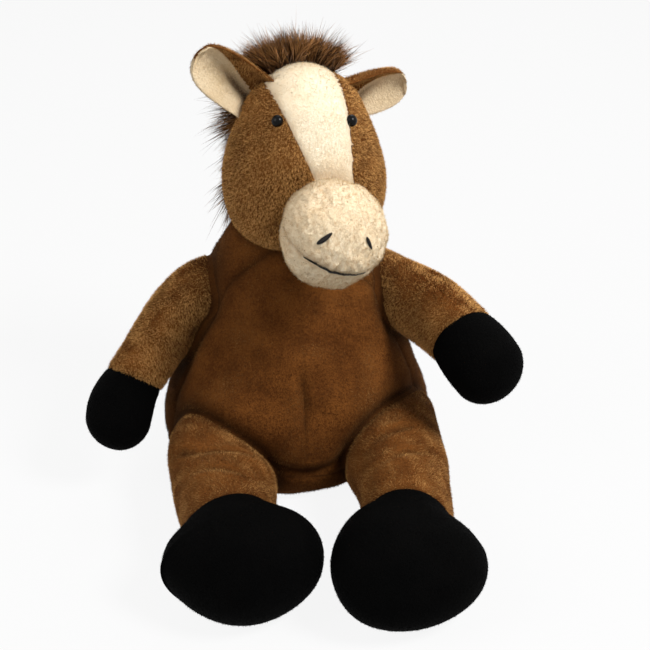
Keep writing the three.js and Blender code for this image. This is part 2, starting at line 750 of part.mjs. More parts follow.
// Ears: a back and a lining each, in a frame of their own at the base, and clear of the head as they flop
const ears = [
  {
    name: 'right_ear',
    side: -1,
    length: RIGHT_EAR_LENGTH,
    heightShare: RIGHT_EAR_HEIGHT_SHARE,
    lean: RIGHT_EAR_LEAN,
    twist: 0,
  },
  {
    name: 'left_ear',
    side: 1,
    length: LEFT_EAR_LENGTH,
    heightShare: LEFT_EAR_HEIGHT_SHARE,
    lean: LEFT_EAR_LEAN,
    twist: LEFT_EAR_TWIST,
  },
].map((ear) => {
  const group = new THREE.Group();
  group.position.set(ear.side * EAR_BASE_SIDE, EAR_BASE_BACK, ear.heightShare * HEAD_HEIGHT);
  group.rotation.set(0, ear.side * THREE.MathUtils.degToRad(ear.lean), THREE.MathUtils.degToRad(ear.twist));
  group.updateMatrix();
  headGroup.add(group);
  return { ...ear, group, toEar: group.matrix.clone().invert() };
});

// A shape cut back from an obstacle wherever its own joint can take it
function clearOf(shape, obstacle, toShape, pivot, axis, range) {
  return turnsOf(range).reduce((left, degrees) => {
    const back = turned(pivot, axis, -degrees).multiply(toShape);
    return left.subtract(solid(obstacle, back));
  }, shape);
}

const headRoomForEars = inset(headForm, -GAP);
for (const { name, group, length, toEar } of ears) {
  const sheet = (front) => clearOf(
    solid(earSheet(front, length)), headRoomForEars, toEar, new THREE.Vector3(), X, EAR_FLOP,
  );
  piece(`${name}_back`, sheet(GAP / 2), FUR, group);
  piece(`${name}_lining`, sheet(-GAP / 2 - CLOTH), LINING, group);
}

// The mane: a forelock between the ears and a strip down the nape, clear of the turning neck
const maneForm = stuffedForm({
  stations: MANE_SHARES.map(([up, back, width, thickness]) => ({
    at: new THREE.Vector3(0, back * HEAD_HALF_DEPTH, up * HEAD_HEIGHT),
    width: width * MANE_HALF_WIDTH,
    depth: thickness * MANE_HALF_THICKNESS,
  })),
  across: X,
  around: MANE_AROUND,
  middleRings: 6,
  startRounding: MANE_HALF_THICKNESS,
  endRounding: MANE_HALF_THICKNESS,
});
const earRoom = ({ group, length }) => {
  const points = [...pointsOf(earSheet(GAP / 2, length)), ...pointsOf(earSheet(-GAP / 2 - CLOTH, length))];
  return swingRoom(points, new THREE.Vector3(), X, EAR_FLOP).transform(group.matrix.elements);
};
const toHead = headGroup.matrix.clone().invert();
const maneSolid = ears.reduce(
  (left, ear) => left.subtract(earRoom(ear)),
  clearOf(solid(maneForm).subtract(muzzleRoom), inset(torsoForm, -SWING_CLEARANCE), toHead, new THREE.Vector3(), Z, HEAD_SWING),
);
const [mane, forelock] = seamed(maneSolid, new THREE.Vector3(0, MANE_SPLIT_BACK, 0), Y);
piece('forelock', forelock, MANE, headGroup);
piece('mane', mane, MANE, headGroup);

// The tail, a tuft sewn into the back seam, clear of the torso as it swings
const tailRoot = new THREE.Vector3(0, TAIL_BACK, TAIL_HEIGHT);
const tailForm = stuffedForm({
  stations: TAIL_SHARES.map(([back, up, radius]) => ({
    at: new THREE.Vector3(0, back, up).multiplyScalar(TAIL_LENGTH).add(tailRoot),
    width: radius * TAIL_RADIUS,
    depth: radius * TAIL_RADIUS,
  })),
  across: X,
  around: MANE_AROUND,
  middleRings: 3,
  startRounding: TAIL_ROUNDING,
  endRounding: TAIL_ROUNDING,
});
const torsoForTail = inset(torsoForm, -GAP);
piece('tail', clearOf(solid(tailForm), torsoForTail, new THREE.Matrix4(), tailRoot, Z, TAIL_SWING), MANE, horse);

export default horse;
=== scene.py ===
"""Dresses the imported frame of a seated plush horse: its pile, hair, seams, beads and stitches.

Metres, +Z up, the horse faces -Y. Left and right are the horse's own, so left is +X. Sizes in the
classes are in millimetres, as in the part's own source, and become metres when a mesh is made.
"""

import logging
import math
from dataclasses import dataclass, field, replace
from enum import Enum
from typing import Any, Callable, ClassVar, Iterable, Sequence

import bmesh
import bpy
import numpy as np
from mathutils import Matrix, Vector
from mathutils.bvhtree import BVHTree


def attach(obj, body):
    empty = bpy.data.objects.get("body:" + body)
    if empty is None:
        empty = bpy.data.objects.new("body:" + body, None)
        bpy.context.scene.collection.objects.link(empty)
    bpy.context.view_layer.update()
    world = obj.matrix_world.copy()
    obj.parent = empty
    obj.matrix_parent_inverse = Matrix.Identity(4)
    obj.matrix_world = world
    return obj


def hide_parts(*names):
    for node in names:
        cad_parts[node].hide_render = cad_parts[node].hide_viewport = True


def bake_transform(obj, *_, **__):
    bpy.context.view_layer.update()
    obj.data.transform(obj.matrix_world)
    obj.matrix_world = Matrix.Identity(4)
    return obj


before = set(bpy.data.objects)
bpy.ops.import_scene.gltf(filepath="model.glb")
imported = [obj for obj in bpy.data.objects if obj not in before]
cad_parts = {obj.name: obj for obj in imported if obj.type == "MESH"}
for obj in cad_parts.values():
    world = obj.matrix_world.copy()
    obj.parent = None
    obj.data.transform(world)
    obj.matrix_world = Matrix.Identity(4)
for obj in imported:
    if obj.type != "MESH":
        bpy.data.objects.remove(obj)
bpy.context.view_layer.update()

MM = 0.001
TAU = 2 * math.pi
BAKE_MAP = "OFBake"
MAP_MARGIN = 0.01
SHEEN_ROUGHNESS = 0.45
COVERED = 0.5
SKEW = (0.13, 0.2, 1.0)
WHITE = (1.0, 1.0, 1.0)
Array = np.ndarray
Colour = tuple[float, float, float]
Point = tuple[float, float, float]
Spot = Point | Array
Stations = Sequence[tuple[float, ...]]
Hold = Callable[[bpy.types.Object], Any]
Mask = Callable[[Array], Array]
log = logging.getLogger("horse")


class Slot(Enum):
    """Material slots of the record."""

    FUR = "fur"
    CREAM = "cream"
    FLEECE = "fleece"
    LINING = "lining"
    HOOF = "hoof"
    MANE = "mane"
    FILLING = "filling"
    PELLETS = "pellets"
    EYE = "eye"
    WASHER = "washer"
    THREAD = "thread"


class Body(Enum):
    """Bodies of the frame."""

    TORSO = "torso"
    HEAD = "head"
    RIGHT_EAR = "right_ear"
    LEFT_EAR = "left_ear"
    RIGHT_ARM = "right_arm"
    LEFT_ARM = "left_arm"
    RIGHT_LEG = "right_leg"
    LEFT_LEG = "left_leg"
    TAIL = "tail"


# Shader graphs


class Socket:
    """An output of a shader node that takes part in arithmetic."""

    def __init__(self, graph: "Graph", output: bpy.types.NodeSocket) -> None:
        """Wraps one output of a node of the graph."""
        self.graph = graph
        self.output = output

    def _math(self, operation: str, other: Any, clamp: bool = False) -> "Socket":
        """A Math node of this value and another."""
        return self.graph.node("ShaderNodeMath", {"operation": operation, "use_clamp": clamp}, self, other)

    def __add__(self, other: Any) -> "Socket":
        """The sum."""
        return self._math("ADD", other)

    __radd__ = __add__

    def __mul__(self, other: Any) -> "Socket":
        """The product."""
        return self._math("MULTIPLY", other)

    __rmul__ = __mul__

    def __pow__(self, power: float) -> "Socket":
        """The power."""
        return self._math("POWER", power)

    def clamped(self) -> "Socket":
        """The value held between 0 and 1."""
        return self._math("ADD", 0.0, clamp=True)


class Graph:
    """The node tree of a new material or of a world."""

    MIX_COLOUR_INPUTS = (0, 6, 7)
    MIX_COLOUR_OUTPUT = 2

    def __init__(self, name: str, world: bpy.types.World | None = None) -> None:
        """Makes a material with an empty tree, or empties a world's.

        Args:
            name: The material's name.
            world: The world, if the tree isn't a material's.
        """
        self.material = world or bpy.data.materials.new(name)
        self.material.use_nodes = True
        self.tree = self.material.node_tree
        self.tree.nodes.clear()

    def node(
        self, kind: str, settings: dict[str, Any], *values: Any, out: int | str = 0, **named: Any
    ) -> Socket:
        """Adds a node.

        Args:
            kind: The node's type.
            settings: Properties that are set before its inputs.
            values: Values or sockets of the first inputs, in order.
            out: The output that is returned.
            named: Values or sockets of inputs by name, with _ for a space.

        Returns:
            The chosen output.
        """
        made = self.tree.nodes.new(kind)
        for key, value in settings.items():
            setattr(made, key, value)
        for key, value in [*enumerate(values), *named.items()]:
            self._feed(made.inputs[key if isinstance(key, int) else key.replace("_", " ")], value)
        return Socket(self, made.outputs[out] if made.outputs else None)

    def _feed(self, target: bpy.types.NodeSocket, value: Any) -> None:
        """Links an input to a socket, or sets its value.

        Args:
            target: The input.
            value: A socket, a number, or a colour, which may lack its alpha.
        """
        if isinstance(value, Socket):
            self.tree.links.new(value.output, target)
        else:
            opaque = isinstance(value, tuple) and len(value) == 3
            target.default_value = (*value, 1.0) if opaque else value

    def place(self) -> Socket:
        """Places in the object's own frame."""
        return self.node("ShaderNodeTexCoord", {}, out="Object")

    def noise(self, size: float, detail: float = 2.0, roughness: float = 0.5) -> Socket:
        """Makes noise in the object's own frame.

        Args:
            size: How large its features are, in millimetres.
            detail: How many finer layers it has.
            roughness: How strong they are.

        Returns:
            The noise.
        """
        scale = 1 / (size * MM)
        return self.node(
            "ShaderNodeTexNoise", {}, Vector=self.place(), Scale=scale, Detail=detail, Roughness=roughness
        )

    def attribute(self, name: str) -> Socket:
        """The value of a mesh attribute."""
        return self.node("ShaderNodeAttribute", {"attribute_name": name}, out="Fac")

    def seen(self) -> Socket:
        """Tells whether a ray comes from the camera, directly or by a mirror or a clear piece.

        Returns:
            1 for such a ray and 0 for any other.
        """
        rays = ("Is Camera Ray", "Is Glossy Ray", "Is Transmission Ray")
        camera, glossy, through = (self.node("ShaderNodeLightPath", {}, out=ray) for ray in rays)
        return (camera + glossy + through).clamped()

    def between(self, value: Socket, low: float, high: float) -> Socket:
        """How far a value lies from low to high, held between 0 and 1."""
        return self.node("ShaderNodeMapRange", {"clamp": True}, value, low, high, 0.0, 1.0)

    def blend(self, share: Any, first: Any, second: Any) -> Socket:
        """Mixes two colours.

        Args:
            share: How much there is of the second, from 0 to 1.
            first: A colour or a socket.
            second: A colour or a socket.

        Returns:
            The mix.
        """
        made = self.tree.nodes.new("ShaderNodeMix")
        made.data_type = "RGBA"
        for key, value in zip(self.MIX_COLOUR_INPUTS, (share, first, second)):
            self._feed(made.inputs[key], value)
        return Socket(self, made.outputs[self.MIX_COLOUR_OUTPUT])

    def bump(self, height: Socket, distance: float) -> Socket:
        """A normal from a height between 0 and 1 that stands for that many millimetres."""
        deep = distance * MM
        return self.node("ShaderNodeBump", {}, Strength=1.0, Distance=deep, Height=height, out="Normal")

    def surface(self, **inputs: Any) -> bpy.types.Material:
        """Ends the tree in a Principled surface and returns its material."""
        self.node("ShaderNodeOutputMaterial", {}, self.node("ShaderNodeBsdfPrincipled", {}, **inputs))
        return self.material


def linear(red: int, green: int, blue: int) -> Colour:
    """Makes a linear colour of an sRGB one.

    Args:
        red: Its red, from 0 to 255.
        green: Its green.
        blue: Its blue.

    Returns:
        The same colour, from 0 to 1.
    """
    shares = [c / 255 for c in (red, green, blue)]
    made = [s / 12.92 if s <= 0.04045 else ((s + 0.055) / 1.055) ** 2.4 for s in shares]
    return (made[0], made[1], made[2])


@dataclass(frozen=True)
class PileFinish:
    """Cloth with a pile, seen as a surface: nap in patches, flecks, and creases darkened by painted shade."""

    name: str
    light: Colour
    dark: Colour
    # The colour of the painted shade in creases, seams and joins.
    crease_shade: Colour
    patch_size: float = 22.0
    patch_share: float = 0.55
    fleck_size: float = 1.4
    bump_depth: float = 0.35
    roughness: float = 0.9
    sheen: float = 0.12
    sheen_tint: Colour = (1.0, 1.0, 1.0)
    specular: float = 0.06

    def build(self) -> bpy.types.Material:
        """Makes the material.

        Returns:
            The material.
        """
        g = Graph(self.name)
        patches = g.between(g.noise(self.patch_size, detail=2.0, roughness=0.55), low=0.32, high=0.68)
        flecks = g.between(g.noise(self.fleck_size, detail=3.0, roughness=0.65), low=0.3, high=0.7)
        nap = (self.patch_share * patches + (1 - self.patch_share) * flecks).clamped()
        colour = g.blend(nap, self.dark, self.light)
        # Painted shade: the colour turns towards a darker one in creases, seams and joins, by how deep each
        # is sunk.
        shaded = g.blend(g.attribute("hollow"), colour, self.crease_shade)
        return g.surface(
            Base_Color=shaded,
            Roughness=self.roughness,
            Normal=g.bump(flecks, self.bump_depth),
            Sheen_Weight=self.sheen,
            Sheen_Roughness=SHEEN_ROUGHNESS,
            Sheen_Tint=self.sheen_tint,
            Specular_IOR_Level=self.specular,
        )


@dataclass(frozen=True)
class FibreFinish:
    """Single hairs: each with a tone of its own, and darker towards the root by painted shade among the
    fibres.
    """

    name: str
    light: Colour
    dark: Colour
    root_share: float = 0.55
    root_reach: float = 0.6
    roughness: float = 0.8
    specular: float = 0.06
    sheen: float = 0.0
    sheen_tint: Colour = (1.0, 1.0, 1.0)

    def build(self) -> bpy.types.Material:
        """Makes the material.

        Returns:
            The material.
        """
        g = Graph(self.name)
        colour = g.blend(g.attribute("tone"), self.dark, self.light)
        # Painted shade among the fibres: each is darkened towards its root.
        root = tuple(c * self.root_share for c in self.dark)
        along = g.blend((g.attribute("along") ** self.root_reach).clamped(), root, colour)
        return g.surface(
            Base_Color=along,
            Roughness=self.roughness,
            Specular_IOR_Level=self.specular,
            Sheen_Weight=self.sheen,
            Sheen_Roughness=SHEEN_ROUGHNESS,
            Sheen_Tint=self.sheen_tint,
        )


@dataclass(frozen=True)
class HardFinish:
    """A smooth moulded surface with faint handling marks."""

    name: str
    colour: Colour
    roughness: float
    mark_size: float = 2.0
    mark_roughness: float = 0.12
    specular: float = 0.5

    def build(self) -> bpy.types.Material:
        """Makes the material.

        Returns:
            The material.
        """
        g = Graph(self.name)
        marks = g.between(g.noise(self.mark_size, detail=4.0, roughness=0.6), low=0.35, high=0.75)
        roughness = self.mark_roughness * marks + self.roughness
        return g.surface(Base_Color=self.colour, Roughness=roughness, Specular_IOR_Level=self.specular)


@dataclass(frozen=True)
class LooseFinish:
    """Fibre filling, a woven bag or thread: a pale or dark matte fibre with a fine structure."""

    name: str
    light: Colour
    dark: Colour
    grain: float = 1.0
    grain_relief: float = 0.4
    roughness: float = 0.95

    def build(self) -> bpy.types.Material:
        """Makes the material.

        Returns:
            The material.
        """
        g = Graph(self.name)
        strands = g.between(g.noise(self.grain, detail=5.0, roughness=0.7), low=0.35, high=0.65)
        colour = g.blend(strands, self.dark, self.light)
        relief = g.bump(strands, self.grain * self.grain_relief)
        return g.surface(Base_Color=colour, Roughness=self.roughness, Normal=relief)


class Finishes:
    """All materials of the horse, each made once."""

    def __init__(self) -> None:
        """Makes the materials."""
        nap = linear(205, 150, 92)
        # The third colour of each skin is the painted shade of its creases, seams and joins.
        skin = {
            Slot.FUR: PileFinish(
                "velour", linear(126, 76, 32), linear(72, 38, 12), linear(28, 14, 5),
                sheen=0.18, sheen_tint=nap,
            ),
            Slot.CREAM: PileFinish(
                "cream_pile", linear(255, 246, 224), linear(250, 230, 196), linear(190, 148, 100),
                bump_depth=0.3,
            ),
            Slot.FLEECE: PileFinish(
                "fleece", linear(255, 240, 212), linear(244, 220, 182), linear(150, 108, 66),
                fleck_size=2.6, bump_depth=0.5,
            ),
            Slot.LINING: PileFinish(
                "ear_lining", linear(238, 218, 184), linear(208, 180, 136), linear(84, 56, 30), bump_depth=0.3
            ),
            Slot.HOOF: PileFinish(
                "hoof_velour", (0.002, 0.0019, 0.0018), (0.001, 0.001, 0.001), (0.0, 0.0, 0.0),
                sheen=0.0, specular=0.02,
            ),
        }
        fibre = {
            Slot.FUR: FibreFinish(
                "brown_fibres", linear(248, 186, 110), linear(70, 35, 8), 0.75, sheen=0.25, sheen_tint=nap
            ),
            Slot.CREAM: FibreFinish("cream_fibres", linear(255, 244, 220), linear(248, 226, 190), 0.94),
            Slot.FLEECE: FibreFinish("fleece_fibres", linear(255, 242, 210), linear(226, 192, 144), 0.95),
            Slot.LINING: FibreFinish("lining_fibres", linear(240, 220, 186), linear(212, 184, 142), 0.9),
            Slot.HOOF: FibreFinish(
                "black_fibres", (0.003, 0.003, 0.003), (0.001, 0.001, 0.001), specular=0.03
            ),
            Slot.MANE: FibreFinish(
                "mane_fibres", linear(206, 144, 80), linear(84, 48, 18), 0.3, roughness=0.55, specular=0.2
            ),
        }
        other = {
            Slot.FILLING: LooseFinish("fibre_filling", linear(245, 245, 242), linear(215, 215, 210), 2.0),
            Slot.PELLETS: LooseFinish("pellet_bag_weave", linear(205, 205, 200), linear(165, 165, 160), 0.8),
            Slot.EYE: HardFinish("bead_eye", (0.0015, 0.0014, 0.0013), 0.22, specular=0.12),
            Slot.WASHER: HardFinish("washer_plastic", linear(232, 232, 230), 0.4),
            Slot.THREAD: LooseFinish("thread", linear(20, 12, 7), linear(8, 5, 3), 0.4),
        }
        self.skin, self.fibre, self.other = (
            {slot: finish.build() for slot, finish in group.items()} for group in (skin, fibre, other)
        )


# Forms


class Waves:
    """Smooth seeded noise: a sum of sines in random directions, from about -1 to 1."""

    COUNT = 14
    SIZES = (0.7, 1.6)

    def __init__(self, size: float, seed: int) -> None:
        """Draws the waves.

        Args:
            size: The size of a wave in millimetres.
            seed: The seed of its random numbers.
        """
        random = np.random.default_rng(seed)
        ways = random.normal(size=(self.COUNT, 3))
        ways /= np.linalg.norm(ways, axis=1, keepdims=True)
        self.ways = ways * (TAU / (size * random.uniform(*self.SIZES, (self.COUNT, 1))))
        self.phases = random.uniform(0, TAU, self.COUNT)

    def at(self, points: Array) -> Array:
        """The noise at each point, in millimetres."""
        return np.sin(points @ self.ways.T + self.phases).sum(axis=1) / math.sqrt(self.COUNT)

    @staticmethod
    def field(points: Array, size: float, seed: int) -> Array:
        """A vector of noise at each point."""
        return np.stack([Waves(size, seed + i).at(points) for i in range(3)], axis=1)


def spacing(first: Array, second: Array) -> Array:
    """The square root of the distance from each point to its neighbour, which is never quite 0."""
    return np.maximum(np.linalg.norm(second - first, axis=1, keepdims=True), 1e-6) ** 0.5


def catmull_rom(points: Array, shares: Array, centripetal: bool) -> Array:
    """Points of a Catmull-Rom curve.

    Args:
        points: The points it passes through.
        shares: Places on it, from 0 to 1, with the points spread evenly.
        centripetal: Whether its tangents follow the points' spacing.

    Returns:
        One point for each share.
    """
    ends = np.vstack([2 * points[0] - points[1], points, 2 * points[-1] - points[-2]])
    scaled = np.clip(shares, 0, 1) * (len(points) - 1)
    whole = np.minimum(scaled.astype(int), len(points) - 2)
    t = (scaled - whole)[:, None]
    p0, p1, p2, p3 = (ends[whole + i] for i in range(4))
    if centripetal:
        d0, d1, d2 = spacing(p0, p1), spacing(p1, p2), spacing(p2, p3)
        m1 = ((p1 - p0) / d0 - (p2 - p0) / (d0 + d1) + (p2 - p1) / d1) * d1
        m2 = ((p2 - p1) / d1 - (p3 - p1) / (d1 + d2) + (p3 - p2) / d2) * d1
    else:
        m1, m2 = (p2 - p0) / 2, (p3 - p1) / 2
    square, cube = t**2, t**3
    return (
        (2 * cube - 3 * square + 1) * p1
        + (cube - 2 * square + t) * m1
        + (3 * square - 2 * cube) * p2
        + (cube - square) * m2
    )


def unit(vectors: Array) -> Array:
    """The vectors at length 1."""
    return vectors / np.maximum(np.linalg.norm(vectors, axis=-1, keepdims=True), 1e-12)


def behind(point: Array, way: Array) -> Mask:
    """Tells which points lie behind a plane, by 1 or 0."""
    return lambda points: (((points - point) @ way) < 0) * 1.0


def in_front(points: Array, point: Spot, normal: Spot) -> Array:
    """How far each point lies in front of a plane."""
    return (points - np.array(point)) @ unit(np.array(normal, float))


def off_edges(places: Array, margin: float) -> Array:
    """Places in a square of side 1, drawn in from its edges by a margin."""
    return places * (1 - 2 * margin) + margin


@dataclass(frozen=True)
class Place:
    """Where a group of pieces stands: turned about its upright axis, then moved."""

    origin: Point = (0.0, 0.0, 0.0)
    turn: float = 0.0

    def out(self, points: Array) -> Array:
        """Points of the group in the frame of the whole."""
        return self.turned(points) + np.array(self.origin)

    def back(self, points: Array) -> Array:
        """Points of the whole in the frame of the group."""
        return (points - np.array(self.origin)) @ self._turning().T

    def turned(self, vectors: Array) -> Array:
        """Directions of the group in the frame of the whole."""
        return vectors @ self._turning()

    def _turning(self) -> Array:
        """The matrix that turns rows of the group into rows of the whole."""
        c, s = math.cos(math.radians(self.turn)), math.sin(math.radians(self.turn))
        return np.array([[c, s, 0], [-s, c, 0], [0, 0, 1]])


@dataclass(frozen=True)
class StuffedForm:
    """Ellipses round a path of stations, rounded off at both ends.

    A station is x, y, z, width, depth and, if its ellipse is rolled about the path, that angle in degrees.
    """

    PATH_SAMPLES: ClassVar[int] = 600
    NUDGE: ClassVar[float] = 1e-3
    FEWEST_AROUND: ClassVar[int] = 24

    stations: Stations
    across: Point
    start_rounding: float
    end_rounding: float
    flat_share: float = 0.0
    cell: float = 2.2
    place: Place = Place()

    def rings(self) -> tuple[Array, Array, Array]:
        """Samples its surface.

        Returns:
            Its rings of points, and the two points that close its ends, in the frame of the whole.
        """
        table = np.array([(*station, 0.0)[:6] for station in self.stations], float)
        dense = np.linspace(0, 1, self.PATH_SAMPLES)
        path = catmull_rom(table[:, :3], dense, centripetal=True)
        steps = np.linalg.norm(np.diff(path, axis=0), axis=1)
        lengths = np.concatenate([[0], np.cumsum(steps)])
        length = lengths[-1]
        places = self._ring_places(length)
        at_share = np.interp(places, lengths, dense)
        centres = catmull_rom(table[:, :3], at_share, centripetal=True)
        sizes = catmull_rom(table[:, 3:], at_share, centripetal=False)
        ahead = catmull_rom(table[:, :3], np.minimum(at_share + self.NUDGE, 1), centripetal=True)
        before = catmull_rom(table[:, :3], np.maximum(at_share - self.NUDGE, 0), centripetal=True)
        along = unit(ahead - before)
        side = np.array(self.across)[None]
        side = unit(side - along * (along @ np.array(self.across))[:, None])
        up = np.cross(along, side)
        roll = np.radians(sizes[:, 2:])
        side, up = side * np.cos(roll) + up * np.sin(roll), up * np.cos(roll) - side * np.sin(roll)
        first = self._roundness(np.clip(places / self.start_rounding, 0, 1))
        last = self._roundness(np.clip((length - places) / self.end_rounding, 0, 1))
        full = (self.flat_share + (1 - self.flat_share) * first) * last
        widest = float((sizes[:, :2].sum(axis=1) / 2).max())
        around = max(self.FEWEST_AROUND, int(TAU * widest / self.cell))
        angles = np.arange(around) / around * TAU
        rings = (
            centres[:, None]
            + side[:, None] * (sizes[:, 0] * full)[:, None, None] * np.cos(angles)[None, :, None]
            + up[:, None] * (sizes[:, 1] * full)[:, None, None] * np.sin(angles)[None, :, None]
        )
        if self.flat_share:
            count = max(2, int(self.flat_share * widest / self.cell / 2))
            inner = np.linspace(0, 1, count + 1)[1:-1, None, None]
            rings = np.concatenate([path[0] + (rings[0][None] - path[0]) * inner, rings])
        return self.place.out(rings), self.place.out(path[0]), self.place.out(path[-1])

    def _ring_places(self, length: float) -> Array:
        """Places the rings along the path, closer together in the rounded ends.

        Args:
            length: The path's length.

        Returns:
            The places.
        """
        start = self._end_places(self.start_rounding)
        end = length - self._end_places(self.end_rounding)[::-1]
        middle = np.linspace(start[-1], end[0], max(2, int((end[0] - start[-1]) / self.cell)))
        first = 0 if self.flat_share else 1
        return np.concatenate([start[first:], middle[1:-1], end[:-1]])

    def _end_places(self, rounding: float) -> Array:
        """Distances from a rounded end, closer together towards it."""
        count = max(4, int(rounding * math.pi / 2 / self.cell))
        return rounding * (1 - np.cos(np.linspace(0, math.pi / 2, count + 1)))

    @staticmethod
    def _roundness(share: Array) -> Array:
        """How full the form is at a share of the way into a rounded end."""
        return np.sqrt(np.clip(1 - (1 - share) ** 2, 0, 1))


class Skin:
    """A fine mesh of a form in millimetres, which is cut along seams, sculpted and split into panels."""

    MERGE = 0.05

    def __init__(self, form: StuffedForm) -> None:
        """Makes the mesh with a map of angle and length.

        Args:
            form: The form.
        """
        rings, first, last = form.rings()
        count, around = rings.shape[:2]
        self.mesh = bmesh.new()
        self.map = self.mesh.loops.layers.uv.new(BAKE_MAP)
        # Painted shade: how dark each vertex is made for lying in a hollow.
        self.hollow = self.mesh.verts.layers.float.new("hollow")
        corners = [[self.mesh.verts.new(p) for p in ring] for ring in rings]
        ends = [self.mesh.verts.new(first), self.mesh.verts.new(last)]
        for i in range(around):
            j = (i + 1) % around
            a, b = i / around, (i + 1) / around
            middle, low, high = (a + b) / 2, 1 / count, 1 - 1 / count
            self._face([ends[0], corners[0][j], corners[0][i]], [(middle, 0), (b, low), (a, low)])
            self._face([ends[1], corners[-1][i], corners[-1][j]], [(middle, 1), (a, high), (b, high)])
            for r in range(count - 1):
                low, high = (r + 1) / (count + 1), (r + 2) / (count + 1)
                self._face(
                    [corners[r][i], corners[r][j], corners[r + 1][j], corners[r + 1][i]],
                    [(a, low), (b, low), (b, high), (a, high)],
                )
        self.mesh.normal_update()
        self._face_out()

    def _face(self, corners: list[bmesh.types.BMVert], marks: list[tuple[float, float]]) -> None:
        """Adds a face with its places in the map."""
        for loop, mark in zip(self.mesh.faces.new(corners).loops, marks):
            loop[self.map].uv = mark

    def _face_out(self) -> None:
        """Turns all faces round if they face inward."""
        if self.mesh.calc_volume(signed=True) < 0:
            bmesh.ops.reverse_faces(self.mesh, faces=self.mesh.faces[:])
            self.mesh.normal_update()

    def tree(self) -> BVHTree:
        """A search tree of the mesh as it is now."""
        return BVHTree.FromBMesh(self.mesh)

    def cut(self, point: Spot, normal: Spot) -> "Skin":
        """Runs an edge along a plane.

        Args:
            point: A point of the plane.
            normal: Its normal.

        Returns:
            This skin.
        """
        parts = [*self.mesh.verts, *self.mesh.edges, *self.mesh.faces]
        bmesh.ops.bisect_plane(self.mesh, geom=parts, dist=self.MERGE, plane_co=point, plane_no=normal)
        return self

    def sculpt(self, *works: "Sculpting", smallest_height: float = -1e9) -> None:
        """Moves the surface in along its normals by all works together, and notes how deep the hollows are as
        painted shade.

        Args:
            works: What pushes it in.
            smallest_height: The height that nothing is pushed below.
        """
        self.mesh.normal_update()
        verts = self.mesh.verts[:]
        points = np.array([v.co for v in verts])
        normals = np.array([v.normal for v in verts])
        depth = np.zeros(len(verts))
        hollow = np.zeros(len(verts))
        for work in works:
            made = work.depth(points)
            depth += made
            # Painted shade: a work that darkens marks its hollows for a darker colour.
            if work.darkens:
                hollow = np.maximum(hollow, np.clip(made / work.darkens, 0, 1))
        moved = points - normals * depth[:, None]
        moved[:, 2] = np.maximum(moved[:, 2], smallest_height)
        for vert, place, shade in zip(verts, moved, hollow):
            vert.co = place
            vert[self.hollow] = shade
        self.mesh.normal_update()

    def panels(self, sides: Iterable[tuple[str, Array, Array]], rest: str) -> dict[str, bpy.types.Object]:
        """Splits the skin into objects along planes.

        Args:
            sides: Names of panels, each with a point and the normal of the plane that it lies in front of. A
                point in front of two planes belongs to the first.
            rest: The name of the panel that lies behind them all.

        Returns:
            The panels by name, in metres.
        """
        names = []
        for face in self.mesh.faces:
            at = np.array(face.calc_center_median())
            names.append(next((name for name, point, normal in sides if (at - point) @ normal > 0), rest))
        return split(self.mesh, names)


def split(mesh: bmesh.types.BMesh, names: list[str]) -> dict[str, bpy.types.Object]:
    """Makes an object of each group of faces.

    Args:
        mesh: The mesh, in millimetres.
        names: The name of each face's group.

    Returns:
        The objects by name, in metres.
    """
    made = {}
    for name in sorted(set(names)):
        part = mesh.copy()
        part.faces.ensure_lookup_table()
        others = [face for face, own in zip(part.faces, names) if own != name]
        bmesh.ops.delete(part, geom=others, context="FACES")
        fit_map(part)
        for vert in part.verts:
            vert.co *= MM
        made[name] = object_of(name, part)
    return made


def fit_map(mesh: bmesh.types.BMesh) -> None:
    """Unwinds the map of a panel about its own middle and stretches it over the whole square.

    Args:
        mesh: The panel.
    """
    layer = mesh.loops.layers.uv[BAKE_MAP]
    turns = np.array([loop[layer].uv.x for face in mesh.faces for loop in face.loops]) * TAU
    middle = math.atan2(np.sin(turns).mean(), np.cos(turns).mean()) / TAU
    low, high = np.full(2, 1e9), np.full(2, -1e9)
    for face in mesh.faces:
        own = np.mean([loop[layer].uv.x for loop in face.loops])
        shift = (own - middle + 0.5) % 1 - 0.5 - own
        for loop in face.loops:
            loop[layer].uv.x += shift
            low = np.minimum(low, loop[layer].uv)
            high = np.maximum(high, loop[layer].uv)
    size = np.maximum(high - low, 1e-9)
    for face in mesh.faces:
        for loop in face.loops:
            loop[layer].uv = off_edges((np.array(loop[layer].uv) - low) / size, MAP_MARGIN)


def object_of(name: str, mesh: bmesh.types.BMesh) -> bpy.types.Object:
    """Makes a smooth object.

    Args:
        name: Its name.
        mesh: Its mesh in metres, which is used up.

    Returns:
        The object.
    """
    data = bpy.data.meshes.new(name)
    mesh.to_mesh(data)
    mesh.free()
    data.shade_smooth()
    return linked(name, data)


def linked(name: str, data: bpy.types.ID) -> bpy.types.Object:
    """Puts an object into the scene.

    Args:
        name: Its name.
        data: Its mesh, lamp or camera.

    Returns:
        The object.
    """
    made = bpy.data.objects.new(name, data)
    bpy.context.scene.collection.objects.link(made)
    return made


# Sculpting


class Sculpting:
    """Something that pushes a surface in, and may paint shade into its colour there."""

    darkens: float = 0.0

    def depth(self, points: Array) -> Array:
        """Tells how far the surface goes in.

        Args:
            points: Points of the surface.

        Returns:
            The depth at each, in millimetres.
        """
        raise NotImplementedError


@dataclass(frozen=True)
class Seam(Sculpting):
    """A groove where a plane crosses the surface, on a part of it if that is given."""

    SHARPNESS: ClassVar[float] = 1.2

    point: Spot
    normal: Spot
    deep: float = 1.6
    width: float = 3.0
    only: Mask | None = None
    darkens: float = 2.4

    def depth(self, points: Array) -> Array:
        """Tells how far each point goes in.

        Args:
            points: Points of the surface.

        Returns:
            The depth at each, in millimetres.
        """
        far = np.abs(in_front(points, self.point, self.normal))
        made = self.deep * np.exp(-far / self.width * self.SHARPNESS)
        return made * self.only(points) if self.only else made


